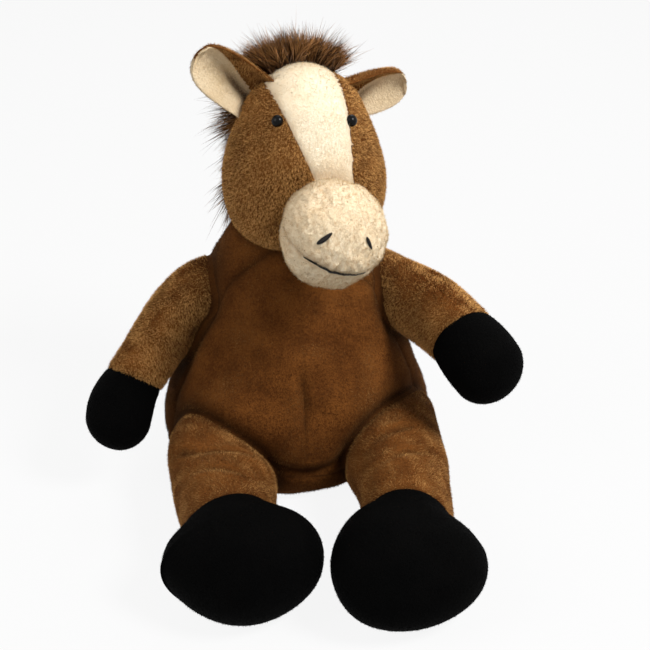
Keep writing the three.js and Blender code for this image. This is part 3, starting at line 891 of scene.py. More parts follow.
@dataclass(frozen=True)
class Crease(Sculpting):
    """A fold along a line of points, with a soft swelling beside it."""

    SAMPLES: ClassVar[int] = 40
    END: ClassVar[float] = 0.02
    REACH: ClassVar[float] = 4.0

    line: tuple[Point, ...]
    deep: float = 2.0
    width: float = 5.0
    swell: float = 0.35
    darkens: float = 4.0

    def depth(self, points: Array) -> Array:
        """Tells how far each point goes in.

        Args:
            points: Points of the surface.

        Returns:
            The depth at each, in millimetres.
        """
        shares = np.linspace(0, 1, self.SAMPLES)
        fine = catmull_rom(np.array(self.line), shares, centripetal=True)
        fades = np.sin(np.clip(shares, self.END, 1 - self.END) * math.pi) ** 0.5
        reach = np.ptp(fine, axis=0).max() + self.REACH * self.width
        near = np.linalg.norm(points - fine.mean(axis=0), axis=1) < reach
        apart = np.linalg.norm(points[near][:, None] - fine[None], axis=2)
        share = apart.min(axis=1) / self.width
        fold = (1 + self.swell) * np.exp(-(share**2))
        swelling = self.swell * np.exp(-((share / 2) ** 2))
        made = np.zeros(len(points))
        made[near] = self.deep * fades[apart.argmin(axis=1)] * (fold - swelling)
        return made


@dataclass(frozen=True)
class Bulge(Sculpting):
    """A round swelling about a point."""

    point: Point
    high: float
    width: float

    def depth(self, points: Array) -> Array:
        """How far each point goes in, which is below zero."""
        far = np.linalg.norm(points - np.array(self.point), axis=1)
        return -self.high * np.exp(-((far / self.width) ** 2))


@dataclass(frozen=True)
class Step(Sculpting):
    """One side of a plane lies lower than the other."""

    point: Spot
    normal: Spot
    deep: float
    width: float

    def depth(self, points: Array) -> Array:
        """How far each point goes in."""
        return self.deep / (1 + np.exp(in_front(points, self.point, self.normal) / self.width))


@dataclass(frozen=True)
class Inset(Sculpting):
    """The whole surface lies deeper."""

    deep: float

    def depth(self, points: Array) -> Array:
        """How far each point goes in."""
        return np.full(len(points), self.deep)


@dataclass(frozen=True)
class Junction(Sculpting):
    """Where another form meets this surface: both are drawn in towards their common seam."""

    REACH: ClassVar[float] = 5.0
    FALL: ClassVar[float] = 1.3

    other: BVHTree
    deep: float = 3.0
    width: float = 9.0
    darkens: float = 5.0

    def depth(self, points: Array) -> Array:
        """Tells how far each point goes in.

        Args:
            points: Points of the surface.

        Returns:
            The depth at each, in millimetres.
        """
        reach = self.width * self.REACH
        far = np.array([self.other.find_nearest(Vector(p), reach)[3] or reach for p in points])
        return self.deep * np.exp(-((far / self.width) ** self.FALL))


@dataclass(frozen=True)
class Lumps(Sculpting):
    """The uneven fill of a stuffed form."""

    size: float
    high: float
    seed: int

    def depth(self, points: Array) -> Array:
        """How far each point goes in."""
        return self.high * Waves(self.size, self.seed).at(points)


# Pile and hair


@dataclass(frozen=True)
class Pile:
    """Short fibres that stand on cloth. Sizes in millimetres; density in fibres per square millimetre."""

    length: float = 2.0
    width: float = 0.3
    density: float = 1.0
    lean: float = 0.8
    comb: Point = (0.0, -0.2, -1.0)
    swirl: float = 0.5
    swirl_size: float = 14.0
    spread: float = 0.35
    tone_size: float = 16.0
    tone: float = 0.5
    fine_tone: float = 0.0
    relief: float = 0.4


def rows_of(items: bpy.types.bpy_prop_collection, key: str, kind: type) -> Array:
    """Reads a property of three numbers of all items of a mesh.

    Args:
        items: The items.
        key: The property's name.
        kind: The numbers' type.

    Returns:
        One row for each item.
    """
    values = np.empty(len(items) * 3, kind)
    items.foreach_get(key, values)
    return values.reshape(-1, 3)


class Grower:
    """Grows seeded fibres on meshes."""

    LENGTHS = (0.6, 1.15)
    TURN = 0.3
    SUNK = 0.2
    PATCH_TONE = 0.2
    OWN_TONE = 0.16
    FINE_TONES = ((1.5, 19), (3.4, 29))

    def __init__(self, seed: int) -> None:
        """Starts the row of random numbers."""
        self.random = np.random.default_rng(seed)
        self.seed = seed

    def roots(self, cloth: bpy.types.Object, density: float) -> tuple[Array, Array]:
        """Draws random points on an object.

        Args:
            cloth: The object.
            density: How many there are on a square millimetre.

        Returns:
            The points in millimetres, and the surface's smooth normals there.
        """
        data = cloth.data
        data.calc_loop_triangles()
        corners = rows_of(data.loop_triangles, "vertices", np.int32)
        places = rows_of(data.vertices, "co", np.float32).astype(float) / MM
        normals = rows_of(data.vertices, "normal", np.float32).astype(float)
        a, b, c = (places[corners[:, i]] for i in range(3))
        areas = np.linalg.norm(np.cross(b - a, c - a), axis=1) / 2
        count = int(areas.sum() * density)
        chosen = self.random.choice(len(areas), count, p=areas / areas.sum())
        r1, r2 = np.sqrt(self.random.random(count)), self.random.random(count)
        weights = np.stack([1 - r1, r1 * (1 - r2), r1 * r2], axis=1)[:, :, None]
        points = (places[corners[chosen]] * weights).sum(axis=1)
        return points, unit((normals[corners[chosen]] * weights).sum(axis=1))

    def pile(
        self, cloth: bpy.types.Object, pile: Pile, finish: bpy.types.Material, hidden: Iterable[BVHTree]
    ) -> bpy.types.Object:
        """Covers an object with a pile.

        Args:
            cloth: The object.
            pile: The pile's sizes.
            finish: The fibres' material.
            hidden: Forms inside which nothing grows.

        Returns:
            The object of the fibres, in metres.
        """
        points, normals = self.roots(cloth, pile.density)
        shown = np.ones(len(points), bool)
        for tree in hidden:
            shown &= ~np.array([inside(tree, p) for p in points])
        points, normals = points[shown], normals[shown]
        count = len(points)
        comb = np.array(pile.comb) + Waves.field(points, pile.swirl_size, self.seed) * pile.swirl
        comb += self.random.normal(size=(count, 3)) * pile.spread
        comb -= normals * (comb * normals).sum(axis=1, keepdims=True)
        ways = unit(normals + comb * pile.lean)
        lengths = pile.length * self.random.uniform(*self.LENGTHS, (count, 1))
        turns = self.random.normal(size=(count, 3)) * self.TURN
        sides = unit(np.cross(ways, normals + turns)) * pile.width / 2
        base = points - normals * self.SUNK
        corners = np.stack([base - sides, base + sides, base + ways * lengths], axis=1)
        tones = pile.tone + self.PATCH_TONE * Waves(pile.tone_size, self.seed + 9).at(points)
        tones += self.random.normal(0, self.OWN_TONE, count)
        fine = [Waves(size, self.seed + step).at(points) for size, step in self.FINE_TONES]
        tones += pile.fine_tone * sum(fine)
        along = np.tile([0.0, 0.0, 1.0], (count, 1))
        shading = unit(normals[:, None] + ways[:, None] * pile.relief * along[:, :, None])
        faces = np.arange(count * 3).reshape(-1, 3)
        return fibre_object(
            f"{cloth.name}_pile", corners.reshape(-1, 3), faces, shading.reshape(-1, 3), np.repeat(tones, 3),
            along.ravel(), finish,
        )


def inside(tree: BVHTree, point: Array) -> bool:
    """Whether a point lies inside a closed form."""
    place, normal, _, _ = tree.find_nearest(Vector(point))
    return place is not None and (Vector(point) - place).dot(normal) < -COVERED


def fibre_object(
    name: str, points: Array, faces: Array, shading: Array, tones: Array, along: Array,
    finish: bpy.types.Material,
) -> bpy.types.Object:
    """Makes an object of fibres.

    Args:
        name: The object's name.
        points: Its vertices, in millimetres.
        faces: Their triangles.
        shading: The normal that each vertex is lit by.
        tones: Each vertex's tone, which becomes the map's first number.
        along: How far along its fibre each vertex is, which becomes the second.
        finish: The material.

    Returns:
        The object, in metres.
    """
    data = bpy.data.meshes.new(name)
    data.vertices.add(len(points))
    data.vertices.foreach_set("co", (points * MM).astype(np.float32).ravel())
    data.loops.add(faces.size)
    data.loops.foreach_set("vertex_index", faces.astype(np.int32).ravel())
    data.polygons.add(len(faces))
    data.polygons.foreach_set("loop_start", np.arange(0, faces.size, 3, dtype=np.int32))
    tones = np.clip(tones, 0, 1)
    for key, values in (("tone", tones), ("along", along)):
        data.attributes.new(key, "FLOAT", "POINT").data.foreach_set("value", values.astype(np.float32))
    layer = data.uv_layers.new(name=BAKE_MAP)
    marks = off_edges(np.stack([tones[faces.ravel()], along[faces.ravel()]], axis=1), 2 * MAP_MARGIN)
    layer.data.foreach_set("uv", marks.astype(np.float32).ravel())
    data.update()
    data.validate()
    data.shade_smooth()
    data.normals_split_custom_set_from_vertices(shading.astype(np.float32))
    data.materials.append(finish)
    return linked(name, data)


@dataclass(frozen=True)
class Hair:
    """Long tapering strands. Sizes in millimetres."""

    length: float = 28.0
    width: float = 0.36
    segments: int = 4
    fall: float = 6.0
    spread: float = 0.5
    lock_spread: float = 0.7
    own_spread: float = 0.5
    curl: float = 4.5
    own_curl: float = 0.4
    taper: float = 0.6
    lock_size: float = 6.0
    tone: float = 0.45
    tone_change: float = 0.22
    tone_locks: float = 1.3
    lit_way: Point = (0.0, -0.5, 0.6)
    lit_share: float = 0.5
    lit_spread: float = 0.6
    lowest: float = 0.5


def hair_object(
    name: str, roots: Array, ways: Array, lengths: Array, hair: Hair, finish: bpy.types.Material, seed: int,
) -> bpy.types.Object:
    """Makes an object of strands.

    Args:
        name: The object's name.
        roots: Where each strand starts.
        ways: The direction that each sets out in.
        lengths: The length of each.
        hair: The sizes that all share.
        finish: The material.
        seed: The seed of its random numbers.

    Returns:
        The object, in metres.
    """
    random = np.random.default_rng(seed)
    count = len(roots)
    locks = Waves.field(roots, hair.lock_size, seed + 1)
    stray = random.normal(size=(count, 3)) * hair.spread * hair.own_spread
    ways = unit(ways + locks * hair.spread * hair.lock_spread + stray)
    bends = Waves.field(roots, hair.lock_size, seed + 5) * hair.curl
    bends += random.normal(size=(count, 3)) * hair.curl * hair.own_curl
    sides = unit(np.cross(ways, random.normal(size=(count, 3)))) * hair.width / 2
    shares = np.linspace(0, 1, hair.segments + 1)
    bends += np.array([0, 0, -hair.fall])
    reach = lengths[:, None]
    lines = [roots + ways * reach * t + bends * (t**2) * (reach / hair.length) for t in shares]
    rows = []
    for t, line in zip(shares[:-1], lines[:-1]):
        taper = 1 - hair.taper * t
        rows += [line - sides * taper, line + sides * taper]
    rows.append(lines[-1])
    points = np.stack(rows, axis=1)
    points[:, :, 2] = np.maximum(points[:, :, 2], hair.lowest)
    per = points.shape[1]
    faces = []
    for s in range(hair.segments - 1):
        faces += [[2 * s, 2 * s + 1, 2 * s + 3], [2 * s, 2 * s + 3, 2 * s + 2]]
    faces.append([per - 3, per - 2, per - 1])
    all_faces = (np.array(faces)[None] + (np.arange(count) * per)[:, None, None]).reshape(-1, 3)
    along = np.concatenate([np.repeat(shares[:-1], 2), [1.0]])
    tones = hair.tone + hair.tone_change * Waves(hair.lock_size * hair.tone_locks, seed + 8).at(roots)
    tones += random.normal(0, hair.tone_change, count)
    glints = random.normal(size=(count, 3)) * hair.lit_spread
    shading = unit(ways * hair.lit_share + np.array(hair.lit_way) + glints)
    return fibre_object(
        name, points.reshape(-1, 3), all_faces, np.repeat(shading, per, axis=0), np.repeat(tones, per),
        np.tile(along, count), finish,
    )


# Sub-assemblies


@dataclass
class Maker:
    """What all sub-assemblies share: the finishes, the fibres' source and the account of pieces."""

    finishes: Finishes
    grower: Grower
    forms: dict[str, BVHTree] = field(default_factory=dict)
    pieces: list[bpy.types.Object] = field(default_factory=list)

    def settle(self, piece: bpy.types.Object, hold: Hold) -> None:
        """Fixes a piece, adds it to the account and logs it.

        Args:
            piece: The piece.
            hold: Fixes an object to a body, or bakes its place into its mesh.
        """
        hold(piece)
        self.pieces.append(piece)
        log.info("%s: %d faces", piece.name, len(piece.data.polygons))

    def cloth(
        self,
        panel: bpy.types.Object,
        node: str,
        slot: Slot,
        pile: Pile,
        hold: Hold,
        fill: float,
        hidden: Iterable[str] = (),
    ) -> None:
        """Finishes one panel of a stuffed form, with its pile.

        Args:
            panel: The panel.
            node: The CAD node that it stands for.
            slot: Its material slot.
            pile: Its pile.
            hold: Fixes an object to a body, or bakes its place into its mesh.
            fill: How tightly the form is stuffed, from 0 to 1; not used.
            hidden: Names of forms inside which nothing grows.
        """
        panel.data.materials.clear()
        panel.data.materials.append(self.finishes.skin[slot])
        fibres = self.grower.pile(panel, pile, self.finishes.fibre[slot], [self.forms[n] for n in hidden])
        self.settle(panel, hold)
        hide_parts(node)
        self.settle(fibres, hold)


def rides(body: Body) -> Hold:
    """Fixes an object to a body."""
    return lambda piece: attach(piece, body.value)


def bends(first: Body, second: Body, start: Array, end: Array) -> Hold:
    """Bakes an object's place into its mesh; the two bodies and the points, in millimetres, are handed on but
    not used.
    """
    return lambda piece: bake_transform(piece, first.value, second.value, tuple(start * MM), tuple(end * MM))


# Painted light and shade: the same brown fibres get a low tone on the torso, whose belly and chest lie in
# shade, and high tones on the head and arms, which catch the light.
BODY_PILE = Pile(length=1.7, width=0.24, density=1.6, lean=0.9, tone=-0.06, tone_size=30.0)
LEG_PILE = Pile(length=1.7, width=0.24, density=2.0, lean=0.9, tone=0.5, fine_tone=0.08)
ARM_PILE = Pile(length=2.0, width=0.28, density=3.6, swirl=0.35, swirl_size=14.0, tone=1.0, fine_tone=0.04)
EAR_PILE = Pile(length=1.7, width=0.26, density=2.8, lean=0.9, tone=0.8)
HEAD_PILE = Pile(
    length=2.1, width=0.28, density=3.6, lean=0.9, swirl=0.6, swirl_size=2.2, spread=0.7, tone=1.0,
    fine_tone=0.2, relief=0.5,
)
BLAZE_PILE = Pile(
    length=1.9, width=0.28, density=3.4, lean=1.7, swirl=0.3, swirl_size=8.0, spread=0.5, relief=0.2
)
FLEECE_PILE = Pile(
    length=2.0, width=0.32, density=4.4, lean=1.5, swirl=0.5, swirl_size=3.0, spread=1.0, tone=0.6,
    fine_tone=0.35, relief=0.5,
)
LINING_PILE = Pile(length=1.5, width=0.26, density=2.6, lean=1.5, spread=0.6)
HOOF_PILE = Pile(length=1.2, width=0.26, density=0.5, lean=0.8)


LIMBS = ("right_leg", "left_leg", "right_arm", "left_arm")


@dataclass
class Torso:
    """The pear-shaped torso: two belly panels, two back panels and the seat."""

    height: float = 178.0
    half_width: float = 93.0
    half_depth: float = 68.0
    seat_height: float = 22.0
    side_seam_forward: float = 29.0
    centre_seam: float = -4.5
    seam_fade: float = 3.0
    waist_height: float = 62.0
    waist_reach: float = 12.0
    seam_shares: tuple[float, float] = (0.15, 0.6)
    fill: float = 0.75
    shares: Stations = (
        (0.0, -3.0, 0.17, 0.95, 0.96), (0.1, -4.2, 0.17, 0.975, 1.0), (0.25, -5.6, 0.14, 0.96, 1.0),
        (0.45, -5.2, 0.08, 0.85, 0.91), (0.62, -3.5, 0.02, 0.77, 0.78), (0.76, -3.5, -0.02, 0.71, 0.67),
        (0.87, -2.5, -0.04, 0.55, 0.56), (1.0, -0.5, -0.04, 0.4, 0.46),
    )
    folds: tuple[Sculpting, ...] = (
        Crease(((-7, -64, 95), (-5, -69, 82), (-4, -73, 66)), 2.2, 3.6, swell=0.6, darkens=6.0),
        Crease(
            ((52, -62, 63), (66, -51, 68), (76, -40, 72), (84, -26, 74)), 2.5, 4.5, swell=0.5, darkens=5.0
        ),
        Crease(((-60, -60, 57), (-76, -45, 53), (-88, -28, 46)), 2.0, 4.5, swell=0.5, darkens=5.0),
        Bulge((5, -70, 80), 1.6, 8.0),
        Crease(
            ((-40, -72, 38), (-24, -77, 31), (-5, -79, 27), (12, -78, 30), (28, -74, 42)), 3.0, 4.0, swell=0.5
        ),
        Bulge((-38, -66, 60), 4.0, 22.0),
        Bulge((30, -68, 70), 4.0, 22.0),
        Bulge((-4, -76, 48), 3.0, 20.0),
    )

    def form(self) -> StuffedForm:
        """Makes its form.

        Returns:
            The form.
        """
        across, deep = self.half_width, self.half_depth
        stations = tuple(
            (side, -forward * deep, up * self.height, width * across, depth * deep)
            for up, side, forward, width, depth in self.shares
        )
        return StuffedForm(stations, (1, 0, 0), start_rounding=22.0, end_rounding=14.0, flat_share=0.7)

    def _front(self, points: Array) -> Array:
        """Shows the centre seam in front only, most of all at the waist.

        Args:
            points: Points of the surface.

        Returns:
            The seam's share of its depth at each.
        """
        elsewhere, more = self.seam_shares
        waist = np.exp(-(((points[:, 2] - self.waist_height) / self.waist_reach) ** 2))
        return (points[:, 1] < 0) * (elsewhere + more * waist)

    def _above_seat(self, points: Array) -> Array:
        """Shows a seam only above the seat."""
        return np.clip((points[:, 2] - self.seat_height) / self.seam_fade, 0, 1)

    def build(self, maker: Maker) -> dict[str, bpy.types.Object]:
        """Makes its five panels.

        Args:
            maker: What all sub-assemblies share.

        Returns:
            The panels by name.
        """
        middle, side = (self.centre_seam, 0, 0), (0, -self.side_seam_forward, 0)
        seat = (0, 0, self.seat_height)
        skin = Skin(self.form()).cut(seat, (0, 0, 1)).cut(side, (0, 1, 0)).cut(middle, (1, 0, 0))
        skin.sculpt(
            Seam(middle, (1, 0, 0), deep=1.6, width=2.2, only=self._front),
            Seam(middle, (1, 0, 0), deep=1.5, width=3.0, only=behind(np.zeros(3), np.array([0, -1, 0]))),
            Seam(side, (0, 1, 0), deep=1.5, width=3.0, only=self._above_seat),
            Seam(seat, (0, 0, 1), deep=1.2, width=2.5),
            *self.folds,
            *[Junction(maker.forms[name], deep=3.4, width=5.5, darkens=4.0) for name in LIMBS],
            Junction(maker.forms["head"], deep=3.0, width=6.0),
            Lumps(size=70.0, high=0.9, seed=3),
            smallest_height=0.0,
        )

        faces = [face.calc_center_median() for face in skin.mesh.faces]
        return split(skin.mesh, [self.panel_at(*at) for at in faces])

    def panel_at(self, x: float, y: float, z: float) -> str:
        """Names the panel at a point.

        Args:
            x: Its place to the left, in millimetres.
            y: Its place to the back.
            z: Its height.

        Returns:
            The panel's name.
        """
        if z < self.seat_height:
            return "seat"
        side = "left" if x > self.centre_seam else "right"
        return f"{side}_belly" if y < -self.side_seam_forward else f"{side}_back"

    def dress(self, maker: Maker) -> None:
        """Makes and finishes its panels.

        Args:
            maker: What all sub-assemblies share.
        """
        hidden = (*LIMBS, "head")
        for name, panel in self.build(maker).items():
            maker.cloth(panel, f"{name}_panel", Slot.FUR, BODY_PILE, rides(Body.TORSO), self.fill, hidden)


@dataclass
class Limb:
    """A stuffed arm or leg: two sleeve panels that meet the torso at a seam, and a hoof."""

    name: str
    body: Body
    joint: Point
    origin: Point
    stations: Stations
    root: Point
    tip_rounding: float
    across: Point
    hoof_seam: int
    panel_names: tuple[str, str]
    panel_normal: Point
    bend: tuple[float, float]
    creases: tuple[Crease, ...] = ()
    sleeve_fill: float = 0.7
    hoof_fill: float = 0.85

    def form(self) -> StuffedForm:
        """Makes its form, from the root inside the torso.

        Returns:
            The form.
        """
        origin = np.array(self.origin)
        outward = unit(np.array(self.stations[0][:3]) - origin)
        inner = (*(origin - outward * self.root[0]), *self.root)
        stations = (inner, (*self.origin, *self.root), *self.stations)
        return StuffedForm(stations, self.across, self.root[0], self.tip_rounding, cell=2.0)

    def build(self, maker: Maker) -> dict[str, bpy.types.Object]:
        """Makes its three panels.

        Args:
            maker: What all sub-assemblies share.

        Returns:
            The panels by name.
        """
        seam = np.array(self.stations[self.hoof_seam][:3])
        way = unit(np.array(self.stations[self.hoof_seam + 1][:3]) - seam)
        joint, normal = np.array(self.joint), np.array(self.panel_normal)
        skin = Skin(self.form()).cut(seam, way).cut(joint, normal)
        skin.sculpt(
            Seam(seam, way, deep=1.1, width=2.4),
            Seam(joint, normal, deep=0.4, width=1.6, only=behind(seam, way)),
            Junction(maker.forms["torso"], deep=3.2, width=7.0),
            Lumps(size=45.0, high=0.7, seed=len(self.name)),
            *self.creases,
            smallest_height=0.0,
        )

        hoof, front, back = (f"{self.name}_{name}" for name in ("hoof", *self.panel_names))
        return skin.panels([(hoof, seam, way), (front, joint, normal)], back)

    def hold(self) -> Hold:
        """Holds its sleeve, and the filling in it, with their place baked in; the bend from the torso to its
        own body is worked out but not used.

        Returns:
            What holds them.
        """
        joint = np.array(self.joint)
        outward = unit(np.array(self.stations[1][:3]) - joint)
        start, end = (joint + outward * far for far in self.bend)
        return bends(Body.TORSO, self.body, start, end)

    def dress(self, maker: Maker) -> None:
        """Makes and finishes its panels.

        Args:
            maker: What all sub-assemblies share.
        """
        for name, panel in self.build(maker).items():
            if name.endswith("hoof"):
                panel.name = f"{name}_cap"
                maker.cloth(panel, name, Slot.HOOF, HOOF_PILE, rides(self.body), self.hoof_fill)
            else:
                pile = ARM_PILE if self.name.endswith("arm") else LEG_PILE
                maker.cloth(panel, f"{name}_panel", Slot.FUR, pile, self.hold(), self.sleeve_fill, ["torso"])


ARM_LENGTH, ARM_RADIUS = 128.0, 24.0
ARM_ASIDE, ARM_HEIGHT, ARM_SUNK = 50.0, 123.0, 4.0
HIP_ASIDE, HIP_FORWARD, HIP_HEIGHT = 54.0, 34.0, 33.0


def arm(
    side: int, lift: float, root: tuple[float, float], shares: Stations, hoof_seam: int,
    creases: tuple[Crease, ...],
) -> Limb:
    """An arm of one side.

    Args:
        side: 1 for the left arm and -1 for the right.
        lift: How far above the joint its root starts.
        root: Its half height and half width at the shoulder.
        shares: Stations: shares of its length outward, forward and up, and of its radius.
        hoof_seam: Which station the hoof starts at.
        creases: Its folds.

    Returns:
        The arm.
    """
    name = "left_arm" if side > 0 else "right_arm"
    joint = (side * ARM_ASIDE, 0.0, ARM_HEIGHT)
    origin = (side * (ARM_ASIDE - ARM_SUNK), 0.0, ARM_HEIGHT + lift)
    stations = tuple(
        (
            joint[0] + side * out * ARM_LENGTH, -forward * ARM_LENGTH, joint[2] + up * ARM_LENGTH,
            radius * ARM_RADIUS, radius * ARM_RADIUS,
        )
        for out, forward, up, radius in shares
    )
    seam = np.array(stations[hoof_seam][:3]) - np.array(joint)
    normal = np.cross(seam, (0, 0, 1)) * side
    return Limb(
        name, Body(name), joint, origin, stations, (*root, 0.0), tip_rounding=20.0, across=(0, 0, 1),
        hoof_seam=hoof_seam, panel_names=("front", "back"), panel_normal=tuple(normal), bend=(4.0, 44.0),
        creases=creases,
    )


def leg(side: int, length: float, shares: Stations, creases: tuple[Crease, ...]) -> Limb:
    """A leg of one side, stretched out forward from the hip.

    Args:
        side: 1 for the left leg and -1 for the right.
        length: Its length from the hip.
        shares: Its root's sizes and roll, then stations: shares of its length outward, forward and up, and
            its sizes and roll there.
        creases: Its folds.

    Returns:
        The leg.
    """
    name = "left_leg" if side > 0 else "right_leg"
    joint = (side * HIP_ASIDE, -HIP_FORWARD, HIP_HEIGHT)
    width, depth, roll = shares[0]
    stations = tuple(
        (
            joint[0] + side * out * length, joint[1] - forward * length, joint[2] + up * length,
            wide, deep, side * turn,
        )
        for out, forward, up, wide, deep, turn in shares[1:]
    )
    return Limb(
        name, Body(name), joint, joint, stations, (width, depth, side * roll), tip_rounding=32.0,
        across=(1, 0, 0), hoof_seam=2, panel_names=("top", "under"), panel_normal=(0, 0, 1), bend=(6.0, 60.0),
        creases=creases,
    )


HEAD_PLACE = Place(origin=(0.0, -6.0, 168.0), turn=12.0)
HEAD_HEIGHT, HEAD_MIDDLE, HEAD_DEPTH = 118.0, 62.0, 52.0
HEAD_FILL = 0.9


@dataclass
class Head:
    """The head: two cheeks, a blaze and the back."""

    height: float = HEAD_HEIGHT
    drop: float = 5.0
    half_width: float = 51.0
    half_depth: float = HEAD_DEPTH
    back_seam: float = 12.0
    blaze_top: tuple[float, float] = (-29.4, 20.3)
    blaze_foot: tuple[float, float] = (-6.9, 18.3)
    blaze_foot_share: float = 0.49
    shares: Stations = (
        (0.0, 0.0, 0.7, 0.65), (0.12, 0.01, 0.9, 0.85), (0.27, 0.05, 1.0, 0.98), (0.42, 0.07, 1.0, 1.0),
        (0.58, 0.07, 0.91, 0.92), (0.72, 0.05, 0.78, 0.8), (0.85, 0.03, 0.64, 0.66), (1.0, 0.0, 0.5, 0.52),
    )

    def form(self) -> StuffedForm:
        """Makes its form.

        Returns:
            The form.
        """
        across, deep = self.half_width, self.half_depth
        stations = tuple(
            (0.0, -forward * deep, up * self.height - self.drop, width * across, depth * deep)
            for up, forward, width, depth in self.shares
        )
        return StuffedForm(
            stations, (1, 0, 0), start_rounding=20.0, end_rounding=24.0, cell=1.9, place=HEAD_PLACE
        )

    def edge(self, side: int) -> tuple[Array, Array]:
        """Finds one edge of the blaze.

        Args:
            side: 1 for its left edge and -1 for its right.

        Returns:
            A point of the edge and its outward normal, in the frame of the whole.
        """
        which = 1 if side > 0 else 0
        foot = np.array([self.blaze_foot[which], 0, self.blaze_foot_share * self.height])
        top = np.array([self.blaze_top[which], 0, self.height])
        normal = np.cross((0, 1, 0), top - foot) * side
        return HEAD_PLACE.out(foot), HEAD_PLACE.turned(unit(normal))

    def build(self, maker: Maker) -> dict[str, bpy.types.Object]:
        """Makes its four panels.

        Args:
            maker: What all sub-assemblies share.

        Returns:
            The panels by name.
        """
        back = HEAD_PLACE.out(np.array([0, self.back_seam, 0]))
        backward = HEAD_PLACE.turned(np.array([0.0, 1.0, 0.0]))
        edges = [self.edge(side) for side in (-1, 1)]
        skin = Skin(self.form()).cut(back, backward)
        for point, normal in edges:
            skin.cut(point, normal)
        face = behind(back, backward)
        skin.sculpt(
            Seam(back, backward, deep=1.2, width=2.6),
            *[Seam(at, out, deep=1.0, width=2.2, only=face) for at, out in edges],
            Junction(maker.forms["torso"], deep=2.0, width=8.0),
            Junction(maker.forms["muzzle"], deep=2.5, width=6.0),
            Lumps(size=50.0, high=0.6, seed=21),
        )

        cheeks = [(name, *edge) for name, edge in zip(("right_cheek", "left_cheek"), edges)]
        return skin.panels([("back_of_head", back, backward), *cheeks], "blaze")

    def dress(self, maker: Maker) -> None:
        """Makes and finishes its panels.

        Args:
            maker: What all sub-assemblies share.
        """
        for name, panel in self.build(maker).items():
            slot, pile = (Slot.CREAM, BLAZE_PILE) if name == "blaze" else (Slot.FUR, HEAD_PILE)
            maker.cloth(panel, f"{name}_panel", slot, pile, rides(Body.HEAD), HEAD_FILL, ["muzzle", "torso"])


@dataclass
class Muzzle:
    """The round fleece muzzle with its chin below the mouth, nostril stitches and mouth stitch."""

    centre: Point = (-3.5, -74.0, 31.9)
    half_width: float = 33.0
    half_height: float = 34.0
    half_depth: float = 31.0
    shares: Stations = (
        (-31.0, 0.0, 1.0, 1.0), (-2.0, 0.0, 1.0, 1.0), (20.0, 4.0, 0.8, 0.84), (40.0, 7.0, 0.6, 0.66),
    )
    mouth_drop: float = 2.2
    mouth_normal: Point = (0.341, -0.343, 0.877)
    mouth_from: float = -49.0
    mouth_to: float = 34.0
    mouth_points: int = 17
    mouth_radius: float = 0.75
    thread_ends: float = 0.3
    thread_twist: float = 0.15
    thread_turning: float = 90.0
    nostrils: tuple[tuple[str, Stations, float], ...] = (
        ("right_nostril_stitch", ((-0.64, -0.35), (-0.48, -0.43), (-0.31, -0.56)), 1.5),
        ("left_nostril_stitch", ((0.45, -0.36), (0.48, -0.22), (0.53, -0.08)), 1.0),
    )

    def form(self) -> StuffedForm:
        """Makes its form.

        Returns:
            The form.
        """
        x, y, z = self.centre
        stations = tuple(
            (x, y + back, z - drop, self.half_width * width, self.half_height * height)
            for back, drop, width, height in self.shares
        )
        return StuffedForm(
            stations, (1, 0, 0), self.half_depth, end_rounding=10.0, cell=1.7, place=HEAD_PLACE
        )

    def build(self, maker: Maker) -> tuple[dict[str, bpy.types.Object], BVHTree]:
        """Makes its two panels.

        Args:
            maker: What all sub-assemblies share.

        Returns:
            The panels by name, and a search tree of the surface.
        """
        x, y, z = self.centre
        mouth = HEAD_PLACE.out(np.array([x, y, z - self.mouth_drop]))
        normal = HEAD_PLACE.turned(np.array(self.mouth_normal))
        skin = Skin(self.form()).cut(mouth, normal)
        skin.sculpt(
            Seam(mouth, normal, deep=1.6, width=2.6),
            Step(mouth, normal, deep=1.8, width=2.0),
            Junction(maker.forms["head"], deep=2.0, width=5.0),
            Lumps(size=16.0, high=0.45, seed=31),
            Lumps(size=5.0, high=0.35, seed=32),
        )
        tree = skin.tree()
        return skin.panels([("muzzle", mouth, normal)], "chin"), tree

    def stitch(self, name: str, directions: Stations, tree: BVHTree, radius: float) -> bpy.types.Object:
        """A line of thread on the surface, tapered at both ends.

        Args:
            name: The piece's name.
            directions: Ways from the muzzle's middle, to the left and down, as shares of the way forward.
            tree: The surface it lies on.
            radius: The thread's radius.

        Returns:
            The object, in metres.
        """
        centre = Vector(HEAD_PLACE.out(np.array(self.centre)))
        line = []
        for side, down in directions:
            way = Vector(HEAD_PLACE.turned(unit(np.array([side, -1.0, -down]))))
            at, normal, _, _ = tree.ray_cast(centre, way)
            line.append(at + normal)
        shares = np.linspace(0, 1, max(24, 4 * len(line)))
        path = catmull_rom(np.array(line), shares, centripetal=True)
        taper = self.thread_ends + (1 - self.thread_ends) * np.sin(shares * math.pi) ** 0.7
        twist = 1 + self.thread_twist * np.sin(shares * self.thread_turning)
        return tube(name, path, radius * taper * twist)

    def dress(self, maker: Maker) -> None:
        """Makes and finishes its panels and stitches.

        Args:
            maker: What all sub-assemblies share.
        """
        panels, tree = self.build(maker)
        for name, panel in panels.items():
            maker.cloth(
                panel, f"{name}_panel", Slot.FLEECE, FLEECE_PILE, rides(Body.HEAD), HEAD_FILL, ["head"]
            )
        across, ahead, up = self.mouth_normal
        sides = np.tan(np.radians(np.linspace(self.mouth_from, self.mouth_to, self.mouth_points)))
        reach = self.mouth_drop * up / self.half_depth
        mouth = tuple((side, (side * across - ahead) / up + reach * math.hypot(1, side)) for side in sides)
        for node, directions, radius in (*self.nostrils, ("mouth_stitch", mouth, self.mouth_radius)):
            thread = self.stitch(f"{node}_thread", directions, tree, radius)
            thread.data.materials.append(maker.finishes.other[Slot.THREAD])
            maker.settle(thread, rides(Body.HEAD))
            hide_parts(node)


